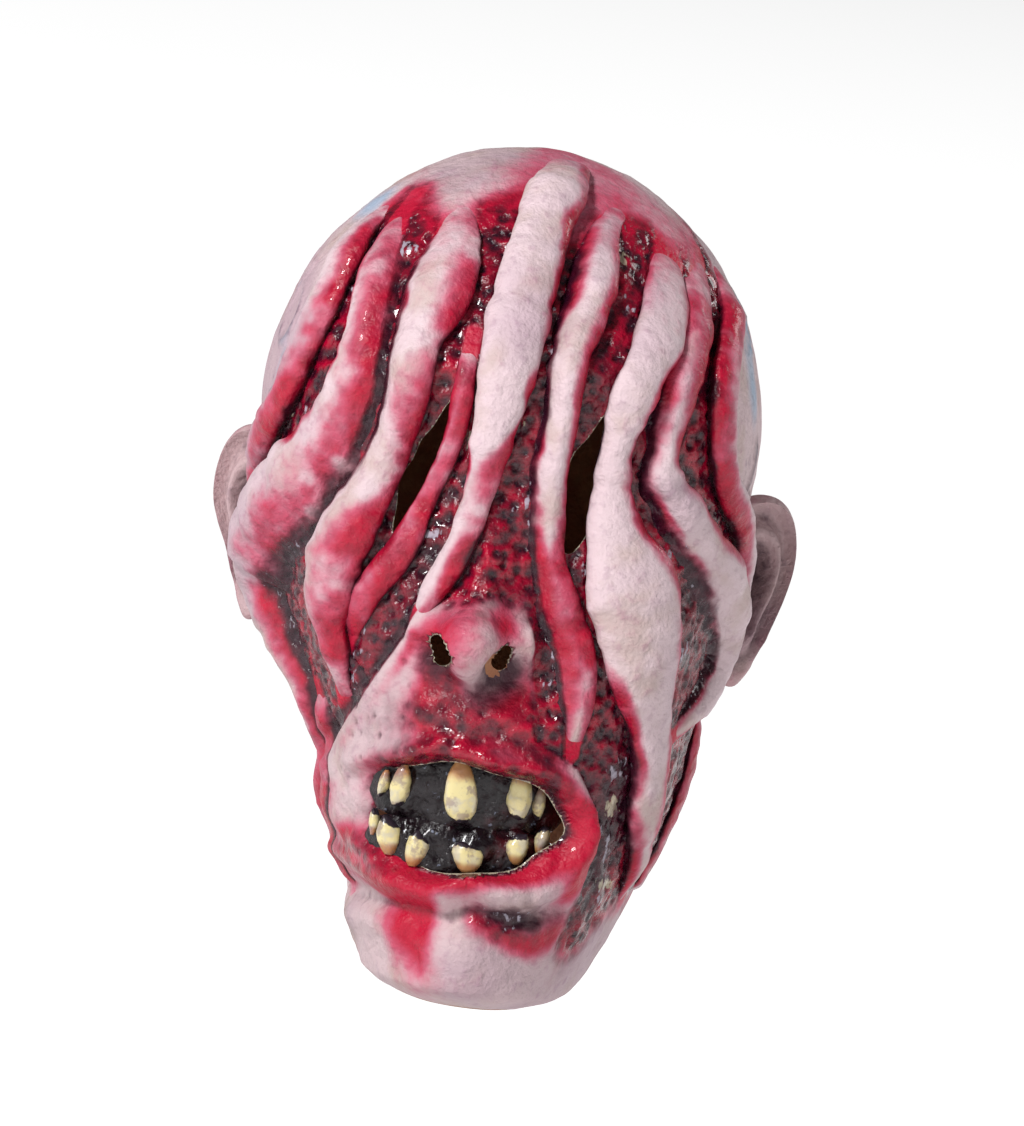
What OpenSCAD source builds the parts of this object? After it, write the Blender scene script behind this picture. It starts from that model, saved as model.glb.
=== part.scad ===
// Overhead latex mask of a melting face: a thin head shell in a front and a rear half,
// skin strips that run down over it, ears, gums and teeth.
// +Z is up, the face looks along -Y, the origin is on the head's axis at chin level.

/* [Head] */
// Height from the chin to the crown of the skin
head_h = 322; // [300:1:345]
// Half width of the skull, just above the ears
skull_w = 95; // [88:1:104]
// Depth from the axis to the forehead
fore_d = 98; // [90:1:106]
// Depth from the axis to the back of the skull
back_d = 117; // [108:1:126]
// Thickness of the latex wall
wall = 3; // [2.5:0.1:4]
// How square a level section of the head is
squareness = 2.3; // [2:0.1:2.8]

/* [Hem] */
// Height of the hem under the chin
hem_front = 2; // [1.5:0.5:5]
// Height of the hem at the nape
hem_back = 68; // [60:1:80]

/* [Rear slit] */
// Height of the top end of the slit
slit_top = 166; // [150:1:180]
// Gap between the two edges of the slit
slit_gap = 0.8; // [0.6:0.1:1.2]
// Width of each flap, from the slit to its fold line
flap_w = 36; // [30:1:38]

/* [Mouth] */
// Half width of the mouth opening
mouth_w = 35; // [32:1:40]
// Half height of the mouth opening
mouth_h = 20.5; // [18:1:24]
// Distance from the lip's outer face back to the middle of the teeth
teeth_back = 11; // [10:0.5:13]

/* [Detail] */
// Columns and rows of facets on the face half of the skin
face_grid = [50, 38]; // [30:60]
// Columns and rows of facets on the rear half of the skin
rear_grid = [36, 28]; // [24:40]
// Rings along each skin strip
strip_rings = 22; // [16:1:26]
// Sides of a tooth
tooth_sides = 12; // [8:1:16]

/* [Hidden] */

// Level sections of the skin below the dome: [height, middle, half width, front depth, back depth],
// widths as a share of skull_w, front depths of fore_d and back depths of back_d.
sections = [
    [0, 8, 0.42, 0.94, 0.51],
    [14, 9, 0.46, 0.98, 0.53],
    [38, 11, 0.55, 1.00, 0.57],
    [60, 12, 0.62, 1.01, 0.61],
    [92, 11, 0.73, 1.01, 0.69],
    [115, 7, 0.80, 1.00, 0.76],
    [140, 2, 0.88, 0.99, 0.83],
    [165, 0, 0.94, 0.98, 0.90],
    [190, -2, 0.97, 0.98, 0.96],
    [215, -3, 1.00, 1.00, 1.00],
    [400, -3, 1.00, 1.00, 1.00]
];
dome_from = 215;
chin_round = 14;

// The flaps' fold lines: depth and height of a point on them, and their lean from upright
fold_at = [81.5, 112];
fold_lean = 20.6;

// Swellings and hollows of the face: [x, z, half width, half height, rise towards the front]
swellings = [
    [-5, 139, 13, 14, 17],
    [-4, 166, 9, 22, 7],
    [-36, 234, 24, 12, 5],
    [32, 240, 24, 12, 5],
    [-32, 197, 13, 24, -5],
    [28, 204, 14, 24, -5],
    [-62, 152, 20, 24, 5],
    [58, 146, 20, 26, 6],
    [0, 104, 34, 12, 5],
    [2, 42, 34, 14, 5],
    [8, 14, 22, 12, 4]
];

// A skin strip: [bearing from the face's middle in degrees, height, half width, thickness]
temple_left_path = [
    [-58, 297, 5, 3], [-54, 278, 7, 6], [-52, 256, 8, 6], [-54, 234, 7, 6], [-58, 216, 6, 5],
    [-67, 204, 6, 5], [-80, 190, 5, 5], [-86, 173, 5, 5], [-84, 156, 3, 3]
];
cheek_left_path = [
    [-46, 297, 4, 3], [-41, 273, 6, 5], [-37, 252, 6, 5], [-36, 228, 7, 5], [-40, 207, 9, 6],
    [-51, 187, 12, 8], [-65, 170, 13, 10], [-75, 152, 13, 10], [-74, 132, 9, 7], [-70, 106, 5, 5],
    [-77, 72, 5, 4], [-76, 40, 4, 3]
];
inner_left_path = [
    [-31, 304, 4, 3], [-22, 280, 8, 6], [-21, 257, 9, 7], [-23, 240, 7, 6], [-23, 221, 5, 5],
    [-25, 206, 4, 5], [-29, 190, 6, 6], [-35, 174, 9, 8], [-41, 158, 10, 8], [-44, 142, 8, 7],
    [-45, 126, 5, 5], [-50, 104, 4, 3]
];
eye_left_path = [
    [-11, 248, 3, 3], [-11, 228, 2.5, 4], [-11, 214, 2.5, 4], [-12.5, 203, 2.5, 4],
    [-15, 193, 2.5, 4], [-18, 182, 3, 4], [-23, 166, 4, 4], [-32, 149, 4, 3], [-41, 130, 3, 2]
];
jaw_left_path = [
    [-62, 112, 4, 3], [-66, 90, 5, 4], [-73, 62, 5, 4], [-68, 34, 3, 3]
];
centre_path = [
    [14, 317, 5, 3], [6, 304, 7, 6], [1, 284, 8, 8], [-1, 260, 9, 9], [-2, 237, 8, 8],
    [-3, 215, 6, 7], [-4, 199, 4, 6], [-6, 184, 4, 6], [-9, 169, 4, 5], [-14, 155, 4, 4],
    [-18, 143, 4, 4]
];
nose_path = [
    [34, 308, 4, 3], [21, 290, 5, 5], [16, 267, 6, 6], [12, 244, 5, 6], [11, 221, 4, 6],
    [10, 203, 4, 6], [11, 184, 4, 5], [12, 170, 4, 4], [16, 154, 5, 4], [21, 138, 5, 4],
    [22, 120, 4, 3], [21, 103, 3, 2]
];
cheek_right_path = [
    [46, 298, 4, 3], [38, 276, 8, 6], [32, 254, 7, 7], [26, 233, 6, 6], [24, 217, 4, 6],
    [24, 202, 5, 6], [26, 184, 8, 8], [31, 166, 13, 10], [36, 148, 13, 10], [40, 130, 10, 8],
    [45, 108, 7, 6], [49, 86, 7, 6], [57, 64, 5, 5], [65, 43, 4, 3]
];
outer_right_path = [
    [64, 298, 4, 3], [49, 275, 6, 5], [40, 250, 6, 5], [36, 230, 5, 5], [35, 216, 4, 5],
    [36, 205, 5, 6], [44, 192, 7, 6], [53, 180, 8, 7], [65, 167, 9, 7], [76, 152, 8, 7],
    [77, 137, 7, 6], [67, 123, 4, 4], [54, 109, 3, 2]
];
temple_right_path = [
    [76, 293, 4, 3], [63, 268, 6, 5], [52, 245, 6, 5], [52, 222, 6, 5], [57, 206, 6, 5],
    [69, 194, 6, 5], [81, 179, 5, 5], [85, 166, 5, 5], [83, 153, 3, 3]
];
jaw_right_path = [
    [80, 124, 5, 4], [82, 98, 7, 5], [80, 72, 7, 5], [77, 50, 4, 3]
];

// Teeth: [x, height of the middle, width, length]
upper_teeth = [
    [-30, 83, 4.5, 9], [-23, 83, 7.5, 15], [-2, 84, 13, 22], [18, 86, 9.5, 17], [26.5, 84, 5, 12]
];
lower_teeth = [
    [-32, 68, 4, 9], [-25, 64, 9, 13], [-15, 61, 8.5, 12], [3, 61, 11.5, 11], [21.5, 66, 8, 11],
    [29, 70, 5.5, 10]
];
tooth_depth = 7;
mouth_at = [0.5, 75];
gum_depth = 9;

// Ears: height of the middle, half height, and how far they stand out
ear_z = 168;
ear_half_h = 36;
ear_out = 16;
ear_bearing = 92;

pale_skin = [0.86, 0.76, 0.72];
red_skin = [0.62, 0.16, 0.17];
ear_skin = [0.60, 0.47, 0.48];
gum_red = [0.25, 0.07, 0.06];
tooth_cream = [0.87, 0.80, 0.62];

// ---- Curves through a table ----

function find_row(t, z, k = 0) = k >= len(t) - 2 || z < t[k + 1][0] ? k : find_row(t, z, k + 1);

function slope(t, k, c) =
    let (a = max(k - 1, 0), b = min(k + 1, len(t) - 1))
    (t[b][c] - t[a][c]) / (t[b][0] - t[a][0]);

// Value of column c at height z, on a smooth curve through the table's rows
function at(t, z, c) =
    let (
        k = find_row(t, z),
        span = t[k + 1][0] - t[k][0],
        u = (z - t[k][0]) / span
    )
    (2 * u ^ 3 - 3 * u ^ 2 + 1) * t[k][c] + (u ^ 3 - 2 * u ^ 2 + u) * span * slope(t, k, c)
    + (3 * u ^ 2 - 2 * u ^ 3) * t[k + 1][c] + (u ^ 3 - u ^ 2) * span * slope(t, k + 1, c);

// Point at share s along a hand-drawn path, on a Catmull-Rom curve
function along(path, s) =
    let (
        last = len(path) - 1,
        k = min(floor(s * last), last - 1),
        u = s * last - k,
        a = path[max(k - 1, 0)],
        b = path[k],
        c = path[k + 1],
        d = path[min(k + 2, last)]
    )
    0.5 * (2 * b + (c - a) * u + (2 * a - 5 * b + 4 * c - d) * u ^ 2 + (3 * b - a - 3 * c + d) * u ^ 3);

// ---- The head's surface ----

function hem_z(bearing) = hem_front + (hem_back - hem_front) * ((1 - cos(bearing)) / 2) ^ 1.5;

// How much a level section shrinks towards the crown and under the chin
function shrink(z, inset) =
    z > dome_from ? sqrt(max(0, 1 - ((z - dome_from) / (head_h - inset - dome_from)) ^ 2))
    : z < chin_round ? sqrt(1 - ((chin_round - z) / chin_round) ^ 2)
    : 1;

function swelling(x, z) =
    [for (s = swellings) s[4] * exp(-((x - s[0]) / s[2]) ^ 2 - ((z - s[1]) / s[3]) ^ 2)]
    * [for (s = swellings) 1];

// Point of the skin at a bearing and height, inset by the given depth
function skin_at(bearing, z, inset = 0) =
    let (
        k = shrink(z, inset),
        round_by = (abs(sin(bearing)) ^ squareness + abs(cos(bearing)) ^ squareness) ^ (-1 / squareness),
        facing = cos(bearing),
        front_share = min(1, 1 + facing),
        middle = at(sections, z, 1) * front_share ^ 2 * (3 - 2 * front_share),
        x = middle + (at(sections, z, 2) * skull_w - inset) * k * sin(bearing) * round_by,
        depth = facing > 0 ? at(sections, z, 3) * fore_d : at(sections, z, 4) * back_d,
        rise = facing > 0 ? swelling(x, z) * min(1, 2 * facing) : 0
    )
    [x, -(depth - inset) * k * facing * round_by - rise, z];

function unit(v) = v / norm(v);

function skin_normal(bearing, z) =
    unit(cross(
        skin_at(bearing + 1, z) - skin_at(bearing - 1, z),
        skin_at(bearing, z + 1) - skin_at(bearing, z - 1)
    ));

// ---- Closed grids ----

// Faces of a tube of rings, each of the given number of points, closed with a flat cap at both ends
function tube_faces(rings, sides) = [
    for (r = [0 : rings - 2], k = [0 : sides - 1])
        let (a = r * sides + k, b = r * sides + (k + 1) % sides)
        each [[a, b, b + sides], [a, b + sides, a + sides]],
    [for (k = [sides - 1 : -1 : 0]) k],
    [for (k = [0 : sides - 1]) (rings - 1) * sides + k]
];

// One half of the head shell: level C-shaped rows of points from the hem up to one point at the
// crown, on the outer face first and then on the inner face.
module half_shell(from, to, grid) {
    columns = grid[0];
    rows = grid[1];
    stride = columns + 1;
    function row_z(bearing, r, inset) =
        hem_z(bearing) + (head_h - inset - hem_z(bearing)) * (1 - (1 - r / rows) ^ 1.7);
    function face_points(inset) = [
        for (r = [0 : rows - 1], c = [0 : columns])
            let (b = from + (to - from) * c / columns) skin_at(b, row_z(b, r, inset), inset),
        skin_at(from, head_h - inset, inset)
    ];
    outer = face_points(0);
    top = rows * stride;
    shift = len(outer);
    function quad(a, b, c, d) = [[a, b, c], [a, c, d]];
    faces = [
        for (r = [0 : rows - 2], c = [0 : columns - 1])
            let (k = r * stride + c)
            each concat(
                quad(k, k + stride, k + stride + 1, k + 1),
                quad(shift + k, shift + k + 1, shift + k + stride + 1, shift + k + stride)
            ),
        for (c = [0 : columns - 1])
            let (k = (rows - 1) * stride + c)
            each [[k, top, k + 1], [shift + k, shift + k + 1, shift + top]],
        for (c = [0 : columns - 1])
            each quad(c, c + 1, shift + c + 1, shift + c),
        for (r = [0 : rows - 1])
            let (
                k = r * stride,
                e = k + columns,
                k_up = r == rows - 1 ? top : k + stride,
                e_up = r == rows - 1 ? top : e + stride
            )
            each concat(quad(k, shift + k, shift + k_up, k_up), quad(e, e_up, shift + e_up, shift + e))
    ];
    polyhedron(concat(outer, face_points(wall)), faces);
}

// ---- Skin ----

module across(depth_from, depth_to) {
    translate([0, depth_to, 0]) rotate([90, 0, 0]) linear_extrude(depth_to - depth_from) children();
}

// A slot with a round end, through the listed [x, z, radius] circles
module slot_outline(path) {
    for (k = [0 : len(path) - 2])
        hull() {
            translate([path[k][0], path[k][1]]) circle(path[k][2], $fn = 24);
            translate([path[k + 1][0], path[k + 1][1]]) circle(path[k + 1][2], $fn = 24);
        }
}

module face_openings() {
    across(-160, -40) {
        slot_outline([[-25, 220, 1.5], [-28.5, 207, 4], [-34, 190, 5], [-37, 172, 2.5]]);
        slot_outline([[35, 229, 1.5], [29, 214, 5.5], [26.5, 200, 7], [26, 188, 6.5], [24, 177, 2.5]]);
        slot_outline([[-18, 137, 3], [-15, 131, 3.5]]);
        slot_outline([[7, 137, 2.5], [5, 132, 3]]);
        translate(mouth_at) scale([mouth_w, mouth_h]) circle(1, $fn = 48);
    }
}

module face_skin() {
    color(pale_skin)
        resize([0, 0, 0])
        difference() {
            half_shell(-90, 90, face_grid);
            face_openings();
        }
}

// Block that holds both flaps, up to the slit's top end. Its Z axis runs along the fold lines,
// so its top face stays in its own plane while a flap turns.
module flap_block(low_x, high_x, gap) {
    rise = slit_top - fold_at[1];
    top = sin(fold_lean) * (skin_at(180, slit_top)[1] - fold_at[0]) + cos(fold_lean) * rise;
    translate([0, fold_at[0], fold_at[1]]) rotate([-fold_lean, 0, 0])
        translate([low_x, -30, -90]) cube([high_x - low_x, 70, 90 + top - gap]);
}

module rear_skin() {
    color(pale_skin)
        resize([0, 0, 0])
        difference() {
            half_shell(90, 270, rear_grid);
            flap_block(-flap_w, flap_w, 0);
        }
}

module slit_flap(side) {
    color(pale_skin)
        resize([0, 0, 0])
        intersection() {
            half_shell(90, 270, rear_grid);
            mirror([side < 0 ? 1 : 0, 0, 0])
                flap_block(slit_gap / 2, flap_w - slit_gap / 2, slit_gap / 2);
        }
}

// ---- Strips ----

// Round-backed strip laid on the skin and sunk into it by the given depth
module strip(path, colour) {
    arc = 6;
    sides = arc + 3;
    sunk = 1.2;
    function row(r) = along(path, r / (strip_rings - 1));
    function fade(r) = min(1, 0.35 + 0.4 * min(r, strip_rings - 1 - r));
    function ring(r) =
        let (
            here = row(r),
            spot = skin_at(here[0], here[1]),
            ahead = row(min(r + 1, strip_rings - 1)),
            behind = row(max(r - 1, 0)),
            run = unit(skin_at(ahead[0], ahead[1]) - skin_at(behind[0], behind[1])),
            out = skin_normal(here[0], here[1]),
            side = unit(cross(run, out)),
            half = here[2] * fade(r)
        )
        concat(
            [for (k = [0 : arc])
                spot + side * half * cos(180 * k / arc) + out * (here[3] * fade(r) * sin(180 * k / arc))],
            [for (e = [-0.8, 0.8]) spot + side * half * e - out * sunk]
        );
    color(colour)
        polyhedron([for (r = [0 : strip_rings - 1]) each ring(r)], tube_faces(strip_rings, sides));
}

module temple_strip_left() { strip(temple_left_path, pale_skin); }
module cheek_strip_left() { strip(cheek_left_path, pale_skin); }
module inner_strip_left() { strip(inner_left_path, pale_skin); }
module eye_strip_left() { strip(eye_left_path, red_skin); }
module jaw_strip_left() { strip(jaw_left_path, red_skin); }
module centre_strip() { strip(centre_path, pale_skin); }
module nose_strip() { strip(nose_path, red_skin); }
module cheek_strip_right() { strip(cheek_right_path, pale_skin); }
module outer_strip_right() { strip(outer_right_path, pale_skin); }
module temple_strip_right() { strip(temple_right_path, pale_skin); }
module jaw_strip_right() { strip(jaw_right_path, pale_skin); }

// ---- Ears ----

// Outline of an ear seen from the side: round above, narrowing to the lobe
function ear_edge(a) = [cos(a) * (15 + 4 * sin(a)), sin(a) * ear_half_h];

// How far the skin reaches out at the ear, at a height
function ear_root(side, z) = abs(skin_at(side * ear_bearing, z)[0]);

// An ear with its rim, hollow and lobe, lofted from inside the skin out to the rim and back in
module ear(side) {
    sides = 28;
    // [share of the outline, how far it stands out]
    profile = [
        [0.05, -2], [0.6, -2], [0.66, 0], [0.8, 5], [0.96, 10], [1, 13], [0.97, 15.5], [0.9, 16],
        [0.82, 15], [0.74, 12], [0.64, 9], [0.5, 6.5], [0.3, 6], [0.06, 6]
    ];
    function spot(p, a) =
        let (edge = ear_edge(a) * p[0], out = p[1] * (p[1] > 0 ? 0.75 + 0.25 * cos(a - 20) : 1))
        [side * (ear_root(side, ear_z + edge[1]) + out * ear_out / 16), 6 + edge[0] + 0.12 * edge[1],
            ear_z + edge[1]];
    points = [for (p = profile, k = [0 : sides - 1]) spot(p, side * 360 * k / sides)];
    color(ear_skin)
        polyhedron(points, tube_faces(len(profile), sides));
}

module ear_left() { ear(-1); }
module ear_right() { ear(1); }

// ---- Mouth ----

// Point on the line of the teeth at a given x and height
function tooth_line(x, z) = [x, skin_front(x, z) + teeth_back, z];

// Front of the mouth at x: a shallow bow that follows the lips
function skin_front(x, z) = -(fore_d + 7) + 0.011 * (x - mouth_at[0]) ^ 2;

// A tooth, lofted from root to tip through level rings of the given shares of its width
module tooth(t, up) {
    shares = [0.6, 0.85, 0.98, 1, 0.98, 0.92, 0.78, 0.5];
    rings = len(shares);
    spot = tooth_line(t[0], t[1]);
    points = [for (r = [0 : rings - 1], k = [0 : tooth_sides - 1])
        let (a = 360 * k / tooth_sides, z = (r / (rings - 1) - 0.5) * t[3])
        [spot[0] + t[2] / 2 * shares[r] * cos(a), spot[1] + tooth_depth / 2 * shares[r] * sin(a),
            spot[2] + (up ? -z : z)]];
    faces = tube_faces(rings, tooth_sides);
    color(tooth_cream)
        polyhedron(points, up ? faces : [for (f = faces) [for (k = [len(f) - 1 : -1 : 0]) f[k]]]);
}

// A gum: a bow-shaped bar that the roots stand in
module gum(z, half_h, reach) {
    rings = 19;
    sides = 12;
    points = [for (r = [0 : rings - 1], k = [0 : sides - 1])
        let (
            x = mouth_at[0] + reach * (2 * r / (rings - 1) - 1),
            fade = sqrt(max(0.06, 1 - ((x - mouth_at[0]) / (reach + 1)) ^ 4)),
            a = 360 * k / sides,
            spot = tooth_line(x, z)
        )
        [x, spot[1] + gum_depth / 2 + 1 + gum_depth / 2 * fade * cos(a), z + half_h * fade * sin(a)]];
    color(gum_red)
        polyhedron(points, tube_faces(rings, sides));
}

module upper_gum() { gum(88.5, 14, mouth_w + 3); }
module lower_gum() { gum(58, 12, mouth_w + 1); }

face_skin();
rear_skin();
slit_flap(-1);  // slit_flap_left
slit_flap(1);  // slit_flap_right
ear_left();
ear_right();
temple_strip_left();
cheek_strip_left();
inner_strip_left();
eye_strip_left();
jaw_strip_left();
centre_strip();
nose_strip();
cheek_strip_right();
outer_strip_right();
temple_strip_right();
jaw_strip_right();
upper_gum();
lower_gum();
for (k = [0 : len(upper_teeth) - 1])
    tooth(upper_teeth[k], true);
for (k = [0 : len(lower_teeth) - 1])
    tooth(lower_teeth[k], false);
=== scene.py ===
"""Overhead latex mask of a melting face, built around its CAD frame.

Lengths are millimetres until a mesh is made. A place on the head is a bearing, in degrees from
the middle of the face towards +X, and a height above the chin.
"""

import math

import bpy
import numpy as np
from mathutils import Matrix, Vector


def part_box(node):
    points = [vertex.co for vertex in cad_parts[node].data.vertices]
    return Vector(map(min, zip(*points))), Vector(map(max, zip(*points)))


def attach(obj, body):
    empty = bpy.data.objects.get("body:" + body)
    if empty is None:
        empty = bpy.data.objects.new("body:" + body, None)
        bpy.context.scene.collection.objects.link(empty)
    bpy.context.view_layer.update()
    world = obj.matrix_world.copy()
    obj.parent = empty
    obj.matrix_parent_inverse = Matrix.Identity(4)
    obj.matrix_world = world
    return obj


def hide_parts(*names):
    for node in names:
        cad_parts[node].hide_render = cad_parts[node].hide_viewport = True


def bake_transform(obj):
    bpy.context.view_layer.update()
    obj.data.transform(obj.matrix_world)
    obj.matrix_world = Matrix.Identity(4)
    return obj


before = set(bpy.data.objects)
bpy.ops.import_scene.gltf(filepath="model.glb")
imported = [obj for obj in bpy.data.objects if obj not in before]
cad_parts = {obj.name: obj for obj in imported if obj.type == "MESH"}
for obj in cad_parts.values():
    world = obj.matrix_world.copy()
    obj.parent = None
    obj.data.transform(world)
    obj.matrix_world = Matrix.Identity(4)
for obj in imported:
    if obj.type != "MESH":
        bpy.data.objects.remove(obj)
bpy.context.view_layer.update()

MM = 0.001
face_low, face_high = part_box("face_skin")
_, rear_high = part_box("rear_skin")

# ---- The head's surface -------------------------------------------------------------------------

HEAD_H = face_high.z / MM
SKULL_W = rear_high.x / MM + 1.5
BACK_D = rear_high.y / MM
FORE_D = BACK_D * 0.838
WALL = 3.0
SQUARENESS = 2.3
FAR = 1e9
HEM_FRONT, HEM_BACK = face_low.z / MM, 68.0
DOME_FROM, CHIN_ROUND = 215.0, 14.0
SLIT_TOP = 166.0
DEEPEST = -2.3

# Level sections: height, middle, then half width, front depth and back depth as shares.
SECTIONS = np.array([
    (0, 8, 0.42, 0.94, 0.51), (14, 9, 0.46, 0.98, 0.53), (38, 11, 0.55, 1.00, 0.57),
    (60, 12, 0.62, 1.01, 0.61), (92, 11, 0.73, 1.01, 0.69), (115, 7, 0.80, 1.00, 0.76),
    (140, 2, 0.88, 0.99, 0.83), (165, 0, 0.94, 0.98, 0.90), (190, -2, 0.97, 0.98, 0.96),
    (215, -3, 1.00, 1.00, 1.00), (400, -3, 1.00, 1.00, 1.00),
])

# Swellings and hollows of the face: x, height, half width, half height, rise.
SWELLINGS = [
    (-5, 139, 13, 14, 17), (-4, 166, 9, 22, 7), (-36, 234, 24, 12, 5), (32, 240, 24, 12, 5),
    (-32, 197, 13, 24, -5), (28, 204, 14, 24, -5), (-62, 152, 20, 24, 5), (58, 146, 20, 26, 6),
    (0, 104, 34, 12, 5), (2, 42, 34, 14, 5), (8, 14, 22, 12, 4),
]


def smooth(low, high, value):
    """0 below low, 1 above high and a smooth step between; high may be the lower one."""
    t = np.clip((value - low) / (high - low), 0, 1)
    return t * t * (3 - 2 * t)


def mix(a, b, share):
    return a + (b - a) * share


def section(z, column):
    """Value of a SECTIONS column at a height, on a smooth curve through its rows."""
    rows, values = SECTIONS[:, 0], SECTIONS[:, column]
    slopes = np.empty(len(rows))
    slopes[1:-1] = (values[2:] - values[:-2]) / (rows[2:] - rows[:-2])
    slopes[0] = (values[1] - values[0]) / (rows[1] - rows[0])
    slopes[-1] = (values[-1] - values[-2]) / (rows[-1] - rows[-2])
    k = np.clip(np.searchsorted(rows, z, side="right") - 1, 0, len(rows) - 2)
    span = rows[k + 1] - rows[k]
    u = (z - rows[k]) / span
    return ((2 * u**3 - 3 * u**2 + 1) * values[k] + (u**3 - 2 * u**2 + u) * span * slopes[k]
            + (3 * u**2 - 2 * u**3) * values[k + 1] + (u**3 - u**2) * span * slopes[k + 1])


def hem(bearing):
    return HEM_FRONT + (HEM_BACK - HEM_FRONT) * ((1 - np.cos(np.radians(bearing))) / 2) ** 1.5


def skin(bearing, z, inset=0.0):
    """Points of the smooth skin, as an array of shape (..., 3)."""
    bearing, z = np.broadcast_arrays(np.asarray(bearing, float), np.asarray(z, float))
    turn = np.radians(bearing)
    facing, aside = np.cos(turn), np.sin(turn)
    dome = np.clip((z - DOME_FROM) / (HEAD_H - inset - DOME_FROM), 0, 1)
    chin = np.clip((CHIN_ROUND - z) / CHIN_ROUND, 0, 0.97)
    shrink = np.sqrt(1 - dome**2) * np.sqrt(1 - chin**2)
    out = (np.abs(aside) ** SQUARENESS + np.abs(facing) ** SQUARENESS) ** (-1 / SQUARENESS)
    x = section(z, 1) * smooth(-1, 0, facing) + (section(z, 2) * SKULL_W - inset) * shrink * aside * out
    depth = np.where(facing > 0, section(z, 3) * FORE_D, section(z, 4) * BACK_D)
    rise = sum(s[4] * np.exp(-((x - s[0]) / s[2]) ** 2 - ((z - s[1]) / s[3]) ** 2) for s in SWELLINGS)
    rise = rise * np.clip(2 * facing, 0, 1)
    return np.stack([x, -(depth - inset) * shrink * facing * out - rise, z], axis=-1)


def unit(v):
    return v / np.maximum(np.linalg.norm(v, axis=-1, keepdims=True), 1e-9)


def outward(bearing, z):
    """Unit normals of the smooth skin."""
    top = HEAD_H - 0.6
    low, high = np.minimum(z - 1, top - 1), np.minimum(z + 1, top)
    across = skin(bearing + 1, z) - skin(bearing - 1, z)
    flat = unit(np.cross(across, skin(bearing, high) - skin(bearing, low)))
    crown = smooth(HEAD_H - 1.5, HEAD_H - 0.4, z)[..., None]
    return unit(flat * (1 - crown) + np.array([0, 0, 1.0]) * crown)


# ---- Noise --------------------------------------------------------------------------------------


def scatter(cell, seed):
    """A value from 0 to 1 for each whole-number cell."""
    n = seed * 40503
    for axis, prime in enumerate((73856093, 19349663, 83492791)):
        n = n ^ (cell[..., axis] * prime)
    n = ((n ^ (n >> 13)) * 1274126177) & 0x7FFFFFFF
    return ((n ^ (n >> 11)) & 0xFFFF) / 0xFFFF


def lumps(points, size, seed=1):
    """Soft noise from -1 to 1 whose lumps are about size across."""
    at = points / size
    base = np.floor(at).astype(np.int64)
    f = at - base
    f = f * f * (3 - 2 * f)
    total = 0
    for corner in np.ndindex(2, 2, 2):
        share = np.prod(np.where(np.array(corner) == 1, f, 1 - f), axis=-1)
        total = total + share * scatter(base + np.array(corner), seed)
    return 2 * total - 1


def cells(points, size, seed=1):
    """Distance to the nearest of a jumble of points about size apart, as a share of size."""
    at = points / size
    base = np.floor(at).astype(np.int64)
    near = np.full(at.shape[:-1], 9.0)
    for step in np.ndindex(3, 3, 3):
        cell = base + np.array(step) - 1
        spot = cell + np.stack([scatter(cell, seed + k) for k in range(3)], axis=-1)
        near = np.minimum(near, np.linalg.norm(at - spot, axis=-1))
    return near


# ---- Strips of hanging skin ---------------------------------------------------------------------

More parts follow.
